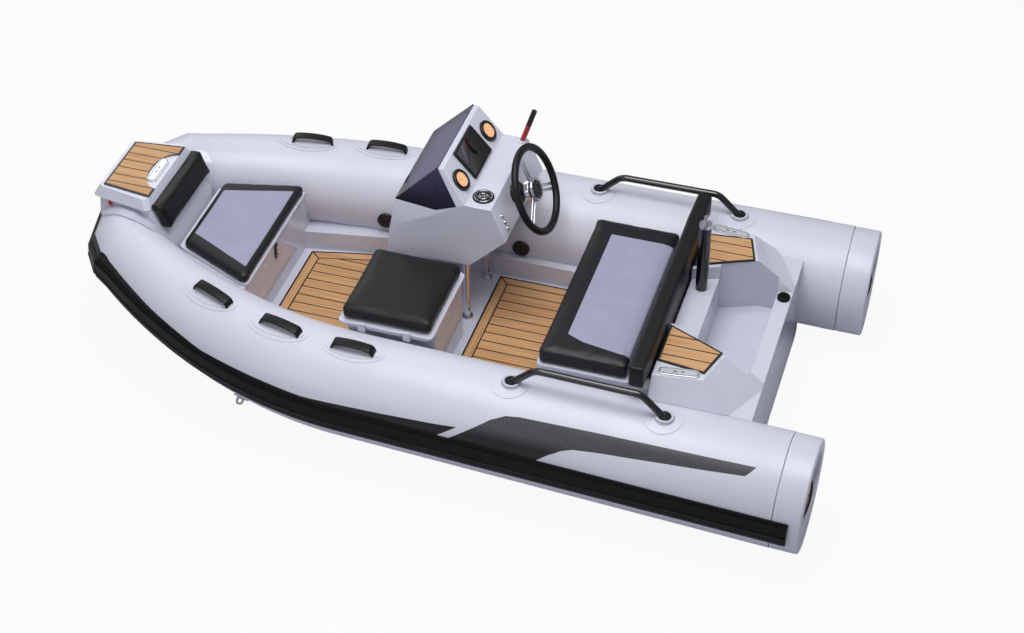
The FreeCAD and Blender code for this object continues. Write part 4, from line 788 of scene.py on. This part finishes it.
def makeScreen():
    item = bar("displayBezel", display["size"], display["rounding"])
    edit(item)
    pick(item, lambda face: facesUp(face) and face.calc_area() > display["glassArea"])
    wide, deep = display["step"]
    bpy.ops.mesh.inset(thickness=display["frame"], depth=0)
    bpy.ops.mesh.inset(thickness=wide, depth=-deep)
    leave()
    dress(item, "blackAbs", "printedGlass")
    for face in item.data.polygons:
        face.material_index = 1 if facesUp(face) and face.area > display["glassArea"] else 0
    onFace(item, dashFace, across=display["across"], lift=display["lift"], out=faceGap)
    finish(item, "boat", "black_plastic", "dash_display")


dial = {  # printed dial with a painted glow, shining though no lamp is in it
    "orange": ("#F3A463", "#F8C9A0"), "cloud": 14 * mm, "smears": 6 * mm, "rough": (0.2, 0.34), "glow": 0.22,
}


def makeDialPrint():
    tree = newMaterial("printedDial")
    colour = mixColour(tree, spots(tree, dial["cloud"]), *dial["orange"])
    gloss = ramp(tree, spots(tree, dial["smears"]), 0, 1, *dial["rough"])
    # the emission is painted light: the dial glows with no lamp behind it
    surface(tree, colour, gloss, Emission_Color=colour, Emission_Strength=dial["glow"])


gauge = {
    "across": (0.19, -0.16), "lift": -0.01,
    "bezel": (0.046, 0.0115, 0.004, 0.0035, 0.2),  # radius, height, rounding, dish, rim's share
    "dial": (0.031, 0.0012, 0.0005), "dialLevel": 0.0083,
    "marks": 11, "firstMark": 215, "markStep": -25,  # degrees
    "mark": ((0.005, 0.0016, 0.0008), 0.0002, (0.0225, 0, 0.0094)),  # size, rounding, place
    "needle": ((0.021, 0.0018, 0.001), 0.0003, (0.008, 0, 0.0096)), "needleTurn": 140,
}


def makeGauge(across):
    bezel = dress(disc("gaugeBezel", *gauge["bezel"]), "blackAbs")
    card = dress(moved(disc("gaugeDial", *gauge["dial"]), (0, 0, gauge["dialLevel"])), "printedDial")
    hands = [moved(bar("needle", *gauge["needle"]), turn=gauge["needleTurn"])]
    for index in range(gauge["marks"]):
        hands.append(moved(bar("mark", *gauge["mark"]), turn=gauge["firstMark"] + gauge["markStep"] * index))
    for hand in hands:
        dress(hand, "blackAbs")
    item = join([bezel, card] + hands, "gauge")
    return onFace(item, dashFace, across=across, lift=gauge["lift"], out=faceGap)


speaker = {
    "spot": (1.255, -0.148, 0.7024), "base": (0.044, 0.006, 0.002, 0.0025, 0.12),
    "rings": 4, "ringStep": 0.009, "wire": 0.0016, "ringLevel": 0.0058,
    "ribs": 12, "rib": ((0.036, 0.0018, 0.0018), 0.0004, (0.02, 0, 0.0045)),
}


def makeSpeaker():
    parts = [dress(disc("speakerBase", *speaker["base"]), "blackAbs")]
    for step in range(1, speaker["rings"] + 1):  # black and steel rings in turn
        ring = hoop("speakerRing", speaker["ringStep"] * step, speaker["wire"], 32, 8)
        ring = moved(ring, (0, 0, speaker["ringLevel"]))
        parts.append(dress(ring, "blackAbs" if step % 2 else "polishedSteel"))
    for index in range(speaker["ribs"]):
        rib = moved(bar("speakerRib", *speaker["rib"]), turn=360 / speaker["ribs"] * index)
        parts.append(dress(rib, "polishedSteel"))
    finish(moved(join(parts, "speakerGrille"), speaker["spot"]), "boat", "black_plastic", "dash_speaker")


button = {
    "across": -0.172, "lifts": (0.01, -0.02, -0.05), "behindWheel": 0.0963,
    "collar": (0.011, 0.003, 0.001), "knob": (0.0082, 0.0028, 0.75),
}


def makeButtons():
    face = dict(helmFace, middle=helmFace["middle"] - helmFace["out"] * button["behindWheel"])
    parts = []
    for lift in button["lifts"]:
        item = join([disc("buttonCollar", *button["collar"]), dome("buttonKnob", *button["knob"])], "button")
        parts.append(onFace(item, face, across=button["across"], lift=lift, out=faceGap))
    finish(dress(join(parts, "helmButtons"), "polishedSteel"), "boat", "polished_steel", "dash_buttons")


makeDialPrint()
makeScreen()
gauges = join([makeGauge(across) for across in gauge["across"]], "gauges")
finish(gauges, "boat", "black_plastic", "dash_gauges")
makeSpeaker()
makeButtons()
print("dash")


# Steering wheel: a dished hub with a chrome ring, and three split spokes

wheel = {
    "rim": (0.173, 0.0162, 96, 20),  # radius, grip's radius, facets round and across
    "hub": (0.041, 0.03, 0.006, 0.004, 0.3), "hubLevel": -0.022,
    "ring": (0.043, 0.0068), "ringLevel": 0.001,
    "boss": (0.045, 0.02, 0.003), "bossLevel": -0.033,
    "spokes": 3, "firstSpoke": 90, "spoke": ((0.13, 0.0125, 0.007), 0.0025),
    "spokePlace": (0.1, 0.0105, -0.009), "groove": (0.0018, 0.0008),
}


def makeRim():
    rim = onFace(hoop("wheelRim", *wheel["rim"]), helmFace)
    finish(dress(rim, "foamGrip"), "wheel", "rim_rubber", "wheel_rim")


def makeSpoke(side):  # one half of a split spoke, grooved along its middle
    x, y, z = wheel["spokePlace"]
    item = bar("spoke", *wheel["spoke"], (x, side * y, z))
    edit(item)
    pick(item, facesUp)
    wide, deep = wheel["groove"]
    bpy.ops.mesh.inset(thickness=wide, depth=-deep)
    leave()
    return item


def makeSpider():
    hub = dress(moved(disc("hubCap", *wheel["hub"]), (0, 0, wheel["hubLevel"])), "blackAbs")
    chrome = [moved(hoop("hubRing", *wheel["ring"]), (0, 0, wheel["ringLevel"])),
              moved(disc("hubBoss", *wheel["boss"]), (0, 0, wheel["bossLevel"]))]
    for index in range(wheel["spokes"]):
        turn = wheel["firstSpoke"] + 360 / wheel["spokes"] * index
        chrome += [moved(makeSpoke(side), turn=turn) for side in (-1, 1)]
    for item in chrome:
        dress(item, "polishedSteel")
    finish(onFace(join(chrome + [hub], "spokes"), helmFace), "wheel", "polished_steel", "wheel_spider")


makeRim()
makeSpider()
print("wheel")


# Throttle lever: black grip over a red lower half, in a light base plate

throttle = {
    "spot": (1.2185, -0.559, 0.7023), "lean": (-0.054, 0, 0.1685), "plate": (0.019, 0.0065, 0.002),
    "radius": 0.0112, "length": 0.168, "topRounding": 0.006, "topFrom": 0.16,
    "cuts": (0.02, 0.09, 0.093, 0.15), "redTo": 0.091, "gripFrom": 0.0925, "gripSwell": 1.12,
}


def makeThrottle():
    plate = dress(moved(disc("leverPlate", *throttle["plate"]), throttle["spot"]), "mouldedPlastic")
    radius, length = throttle["radius"], throttle["length"]
    lever = add("cylinder", "lever", radius=radius, depth=length, vertices=32, location=(0, 0, length / 2))
    for level in throttle["cuts"]:
        bpy.ops.mesh.select_all(action="SELECT")
        bpy.ops.mesh.bisect(plane_co=(0, 0, level), plane_no=(0, 0, 1))
    pick(lever, lambda vert: vert.co.z > throttle["gripFrom"], "VERT")
    swollen = throttle["gripSwell"]
    stretch((swollen, swollen, 1))
    pick(lever, lambda face: facesUp(face) and face.calc_center_median().z > throttle["topFrom"])
    bpy.ops.mesh.bevel(offset=throttle["topRounding"], segments=4, affect="EDGES")
    dress(done(lever, 50), "blackAbs", "anodisedRed")
    for face in lever.data.polygons:
        face.material_index = 1 if face.center.z < throttle["redTo"] else 0
    standOn(lever, throttle["spot"], throttle["lean"])
    finish(join([plate, lever], "throttle"), "boat", "black_plastic", "throttle_lever")


makeThrottle()
print("throttle")


# Pop-up cleats: an oval plate with a flush oval horn in a thin groove, and two finger slots, with black
# painted as shade in the groove and slots

cleat = {
    "size": (0.158, 0.043, 0.0065), "corner": 0.021, "rounding": 0.0015, "clear": 0.0003,
    "insets": ((0.0035, 0), (0.0002, -0.0015), (0.0024, 0), (0.0004, 0.002)),  # in and up, rim to horn
    "groove": (0.005, 0.0002),  # its level, and how far a face may be from it
    "slot": ((0.013, 0.005, 0.0012), 0.0004), "slotPlace": (0.014, 0.0063),
    "port": ((0.299, 0.443, 0.525), 7.5), "bow": ((2.61, 0, 0.640), 90),  # place and turn
}


def makeCleat(spot, turn):
    plate = add("cube", "cleatPlate", size=1, location=(0, 0, 0.5))
    stretch(cleat["size"])
    pick(plate, lambda edge: edge.verts[0].co.xy == edge.verts[1].co.xy, "EDGE")
    bpy.ops.mesh.bevel(offset=cleat["corner"], segments=8, affect="EDGES")
    pick(plate, facesUp)
    bpy.ops.mesh.bevel(offset=cleat["rounding"], segments=2, affect="EDGES")
    pick(plate, facesUp)
    for inwards, upwards in cleat["insets"]:
        bpy.ops.mesh.inset(thickness=inwards, depth=upwards)
    dress(done(plate, 40), "brushedSteel", "blackAbs")
    # painted shade: the groove's floor takes black ABS for the shade inside the gap round the horn
    level, within = cleat["groove"]
    for face in plate.data.polygons:
        face.material_index = 1 if facesUp(face) and abs(face.center.z - level) < within else 0
    # painted shade: black bars laid on the top stand for the shade inside the finger slots
    x, z = cleat["slotPlace"]
    slots = [dress(bar("cleatSlotShade", *cleat["slot"], (side * x, 0, z)), "blackAbs") for side in (-1, 1)]
    return moved(join([plate] + slots, "cleat"), Vector(spot) + Vector((0, 0, cleat["clear"])), turn)


cleats = join([mirrorTwin(makeCleat(*cleat["port"])), makeCleat(*cleat["bow"])], "popUpCleats")
finish(cleats, "boat", "polished_steel", "cleats")
print("cleats")


# Round fittings: ribbed rigging boot, air valve caps, navigation lights

caps = {
    "boot": (0.026, 0.013, 4), "valve": (0.0375, 0.0095, 3),  # radius, height, ribs
    "roundingShare": 0.3, "rimShare": 0.18, "ribsShare": 0.72, "ribShare": 0.05,  # height's, then radius's
    "dish": 0.001, "ribSunk": 0.0006, "bootGap": 0.0003, "valveProud": 0.001,
}


def ribbedCap(name, radius, height, ribs):
    parts = [disc(name, radius, height, height * caps["roundingShare"], caps["dish"], caps["rimShare"])]
    for step in range(1, ribs + 1):
        rib = hoop(name + "Ring", radius * caps["ribsShare"] * step / ribs, radius * caps["ribShare"], 40, 8)
        parts.append(moved(rib, (0, 0, height - caps["ribSunk"])))
    return join(parts, name)


def makeBoot():
    low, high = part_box("rigging_boot")
    middle = (low + high) / 2
    item = standOn(ribbedCap("boot", *caps["boot"]), (middle.x, middle.y, low.z + caps["bootGap"]), (0, 0, 1))
    finish(dress(item, "extrudedRubber"), "boat", "rub_rubber", "rigging_boot")


def makeValveCaps():
    radius, height, ribs = caps["valve"]
    items = []
    for spot, out in nodeIslands("air_valves"):
        spot = spot - out * (height - caps["valveProud"])
        items.append(standOn(ribbedCap("valveCaps", radius, height, ribs), spot, out))
    finish(dress(join(items, "valveCaps"), "blackAbs"), "boat", "black_plastic", "air_valves")


lamp = {"sunk": 0.0118, "collar": (0.0145, 0.006, 0.002), "lens": (0.0115, 0.0055, 0.85)}


def makeNavLights():
    items = []
    for spot, out in nodeIslands("nav_lights"):
        collar = dress(disc("lampCollar", *lamp["collar"]), "polishedSteel")
        colour = "redPolycarbonate" if spot.y > 0 else "greenPolycarbonate"
        lens = dress(dome("lampLens", *lamp["lens"]), colour)
        items += [standOn(part, spot - out * lamp["sunk"], out) for part in (collar, lens)]
    finish(join(items, "navigationLights"), "boat", "black_plastic", "nav_lights")


makeBoot()
makeValveCaps()
makeNavLights()
print("round fittings")


# Patches glued on the tubes under the handles and the rails, in two tiers with a line of painted shade round
# each

patches = {  # length, width and lift of each tier
    "under": (0.262, 0.12, 0.0018), "over": (0.232, 0.088, 0.0036), "rail": (0.152, 0.152, 0.0018),
    "railSpots": ((0.308, 0.634), (0.904, 0.624)),
    "squares": (24, 16), "level": 0.6, "root": 0.001,  # drops from the level, and is let in by the root
}


def makePatch(spot, turn, length, width, lift, target):
    along, across = patches["squares"]
    sheet = add("grid", "patch", size=1, x_subdivisions=along, y_subdivisions=across, location=(0, 0, 0))
    leave()
    for vert in sheet.data.vertices:  # square grid drawn in to an oval
        x, y = vert.co.x * 2, vert.co.y * 2
        vert.co.x = x * math.sqrt(max(0, 1 - y * y / 2)) * length / 2
        vert.co.y = y * math.sqrt(max(0, 1 - x * x / 2)) * width / 2
    dress(moved(sheet, (*spot, patches["level"]), turn), "coatedCloth", "patchEdgeShade")
    modify(sheet, "SHRINKWRAP", target=target, wrap_method="PROJECT", use_project_z=True,
           use_negative_direction=True, use_positive_direction=True, offset=lift)
    # the rim faces take the darker grey, a painted shade along each patch's edge
    modify(sheet, "SOLIDIFY", thickness=lift + patches["root"], offset=-1, material_offset_rim=1)
    smooth(sheet, 40)
    return sheet


strap = {
    "half": 0.0865, "width": 0.041, "thickness": 0.008, "rounding": 0.0026, "edgeAngle": 60,
    "foot": -0.003, "leg": 0.02, "legLean": 20, "shoulder": 0.016, "crown": 8,  # lean and crown in degrees
    "places": [  # middle of the foot line, outward way, way along
        ((1.52892, 0.63104, 0.47838), (-0.01994, 0.08751, 0.99596), (0.99962, -0.0171, 0.02152)),
        ((1.8359, 0.60539, 0.48842), (-0.07654, 0.10065, 0.99197), (0.98301, -0.15883, 0.09197)),
        ((2.14674, 0.53294, 0.51259), (-0.12283, 0.13104, 0.98374), (0.94011, -0.30222, 0.15764)),
    ],
    "patches": [((1.533, 0.627), -1.0), ((1.851, 0.604), -6.5), ((2.169, 0.528), -15.5)],  # middle and turn
}


def makeStrap(spot, outward, along):  # a flat section pushed up one leg, over the crown and down the other
    lean, crown = math.radians(90 - strap["legLean"]), math.radians(strap["crown"])
    leg, shoulder, half = strap["leg"], strap["shoulder"], strap["half"]
    flat = leg * math.cos(lean) + shoulder * (math.sin(lean) - math.sin(crown))
    item = add("plane", "strap", size=1)
    stretch((strap["thickness"], strap["width"], 1))
    bpy.ops.transform.rotate(value=lean - math.radians(90), orient_axis="Y", center_override=(0, 0, 0))
    x, z, heading = -half, strap["foot"], lean
    bpy.ops.transform.translate(value=(x, 0, z))
    bend = (shoulder, lean - crown, 6)  # radius, angle, steps
    steps = [(leg, 0, 1), bend, ((half - flat) / math.sin(crown), 2 * crown, 8), bend, (leg, 0, 1)]
    for size, turn, count in steps:
        if turn:
            centreX, centreZ = x + size * math.sin(heading), z - size * math.cos(heading)
            bpy.ops.mesh.spin(steps=count, angle=-turn, center=(centreX, 0, centreZ), axis=(0, 1, 0))
            heading -= turn
            x, z = centreX - size * math.sin(heading), centreZ + size * math.cos(heading)
        else:
            move = (size * math.cos(heading), 0, size * math.sin(heading))
            bpy.ops.mesh.extrude_region_move(TRANSFORM_OT_translate={"value": move})
            x, z = x + move[0], z + move[2]
    outwards(done(item))
    modify(item, "BEVEL", width=strap["rounding"], segments=3, limit_method="ANGLE",
           angle_limit=math.radians(strap["edgeAngle"]))
    smooth(item, 50)
    out, ahead = Vector(outward).normalized(), Vector(along).normalized()
    turn = Matrix((ahead, out.cross(ahead), out)).transposed().to_4x4()
    item.data.transform(Matrix.Translation(spot) @ turn)
    return item


def makePatches():
    # The port tubes joined in one copy that only guides the patches
    guide = join([nodeCopy(node, "patchGuide") for node in ("tube_port", "bow_tube_port")], "patchGuide")
    items = []
    for spot, turn in strap["patches"]:
        items += [makePatch(spot, turn, *patches[tier], guide) for tier in ("under", "over")]
    items += [makePatch(spot, 0, *patches["rail"], guide) for spot in patches["railSpots"]]
    finish(mirrorTwin(join(items, "gluedPatches")), "boat", "tube_fabric")
    bpy.data.objects.remove(guide)


def makeHandles():
    item = mirrorTwin(join([makeStrap(*place) for place in strap["places"]], "carryStraps"))
    finish(dress(item, "strapRubber"), "boat", "strap_rubber", "handles_port", "handles_starboard")


makePatches()
makeHandles()
print("patches and handles")


# Rail feet: a raised grey ring round a black rubber socket

railFoot = {"ring": (0.031, 0.006), "socket": (0.024, 0.005, 0.0015)}


def makeRailFeet():
    items = []
    for spot, out in nodeIslands("rail_bases"):
        ring = dress(hoop("footRing", *railFoot["ring"]), "mouldedRubber")
        socket = dress(disc("footSocket", *railFoot["socket"]), "strapRubber")
        items += [standOn(part, spot, out) for part in (ring, socket)]
    finish(join(items, "railFeet"), "boat", "base_rubber")


makeRailFeet()
print("rail feet")


# Toggle latch on the bow locker, and the windscreen's side panel where it laps the console

latch = {
    "face": {"middle": Vector((2.1146, 0, 0.337)), "out": Vector((-1, 0, 0)), "up": Vector((0, 0, 1))},
    "plate": ((0.028, 0.064, 0.005), 0.0015),
    "lever": ((0.013, 0.036, 0.005), 0.0018, (0, 0.006, 0.0045)),
    "hook": ((0.02, 0.01, 0.007), 0.002, (0, -0.021, 0.0045)),
}


def makeLatch():
    plate = dress(bar("latchPlate", *latch["plate"]), "blackAbs")
    lever = dress(bar("latchLever", *latch["lever"]), "polishedSteel")
    hook = dress(bar("latchHook", *latch["hook"]), "polishedSteel")
    item = onFace(join([plate, lever, hook], "toggleLatch"), latch["face"])
    finish(item, "boat", "polished_steel", "bow_latch")


sidePane = {  # corners on the console's port face, and the face's outward way
    "corners": [(1.437, -0.0762, 0.6502), (1.437, -0.1255, 0.82), (1.432, -0.1235, 0.814),
                (1.345, -0.0746, 0.6866)],
    "out": (0.127, 0.954, 0.272), "thickness": 0.002, "rounding": 0.0006, "edgeAngle": 50,
}


def makeSidePane():
    pane = add("plane", "sidePane", size=1)
    mesh = bmesh.from_edit_mesh(pane.data)
    mesh.verts.ensure_lookup_table()
    for index, spot in zip((0, 1, 3, 2), sidePane["corners"]):
        mesh.verts[index].co = spot
    bmesh.update_edit_mesh(pane.data)
    bpy.ops.mesh.select_all(action="SELECT")
    lift = Vector(sidePane["out"]).normalized() * sidePane["thickness"]
    bpy.ops.mesh.extrude_region_move(TRANSFORM_OT_translate={"value": lift})
    outwards(done(pane))
    modify(pane, "BEVEL", width=sidePane["rounding"], segments=2, limit_method="ANGLE",
           angle_limit=math.radians(sidePane["edgeAngle"]))
    finish(dress(pane, "castAcrylic"), "boat", "tinted_acrylic")


makeLatch()
makeSidePane()
print("latch and side pane")


# Teak treads in the end caps

tread = {  # half outline about its own middle line, which lies across from the boat's
    "half": [(-0.2, 0.135), (-0.243, 0.128), (-0.259, 0.1), (-0.267, 0.05), (-0.269, 0)],
    "across": 0.6435, "level": 0.2068, "thickness": 0.004, "plank": 0.054,
}


def makeTreads():
    half = tread["half"]
    other = [(x, -y) for x, y in half[:-1]]
    outline = [(x, y + tread["across"]) for x, y in other[:1] + half + other[:0:-1]]
    item = makePad("tread", outline, tread["level"], tread["thickness"], tread["plank"], 0)
    finish(mirrorTwin(item), "boat", "teak")


makeTreads()
print("treads")


# Studio: a pale floor at the waterline, a white background and soft lamps

studio = {
    "floorSize": 40.0,
    "floor": ("#C9CAD2", "#C4C5CD"), "floorCloud": 2.0,
    "floorGlow": 0.93,  # share of white that the camera sees
    "world": ("#F4F5FA", 0.36),  # colour and strength of its light
    "lamps": [  # place, aim, width, watts
        ((0.9, 0.5, 4.8), (1.2, 0.0, 0.3), 3.2, 190),
        ((2.6, 4.6, 3.0), (1.2, 0.2, 0.4), 3.0, 34),
        ((4.6, -3.4, 3.6), (1.4, 0.0, 0.4), 3.0, 50),
    ],
}
white = (1, 1, 1, 1)


def makeWorld():
    world = bpy.data.worlds.new("studio")
    bpy.context.scene.world = world
    world.use_nodes = True
    tree = world.node_tree
    tree.nodes.clear()
    path = addNode(tree, "ShaderNodeLightPath").outputs
    seen = maths(tree, "MAXIMUM", path["Is Camera Ray"], path["Is Transmission Ray"])
    pale, strength = studio["world"]
    lit = addNode(tree, "ShaderNodeBackground", {"Color": pale, "Strength": strength}).outputs[0]
    plain = addNode(tree, "ShaderNodeBackground", {"Color": white, "Strength": 1.0}).outputs[0]
    both = addNode(tree, "ShaderNodeMixShader", {0: seen, 1: lit, 2: plain})
    addNode(tree, "ShaderNodeOutputWorld", {"Surface": both.outputs[0]})


def makeFloor():
    bpy.ops.object.select_all(action="DESELECT")
    bpy.ops.mesh.primitive_plane_add(size=studio["floorSize"], location=(0, 0, 0))
    floor = bpy.context.object
    floor.name = "floor"
    tree = newMaterial("paleFloor")
    path = addNode(tree, "ShaderNodeLightPath").outputs
    drift = mixColour(tree, spots(tree, studio["floorCloud"]), *studio["floor"])
    matt = addNode(tree, "ShaderNodeBsdfDiffuse", {"Color": drift}).outputs[0]
    glow = addNode(tree, "ShaderNodeEmission", {"Color": white, "Strength": 1.0}).outputs[0]
    seen = maths(tree, "MULTIPLY", path["Is Camera Ray"], studio["floorGlow"])
    closeMaterial(tree, addNode(tree, "ShaderNodeMixShader", {0: seen, 1: matt, 2: glow}))
    dress(floor, "paleFloor")


def makeLamps():
    for index, (place, aim, width, watts) in enumerate(studio["lamps"]):
        data = bpy.data.lights.new("lamp%d" % index, "AREA")
        data.shape = "SQUARE"
        data.size = width
        data.energy = watts
        item = bpy.data.objects.new("lamp%d" % index, data)
        bpy.context.collection.objects.link(item)
        item.location = place
        item.rotation_euler = (Vector(aim) - Vector(place)).to_track_quat("-Z", "Y").to_euler()


makeWorld()
makeFloor()
makeLamps()
print("studio")
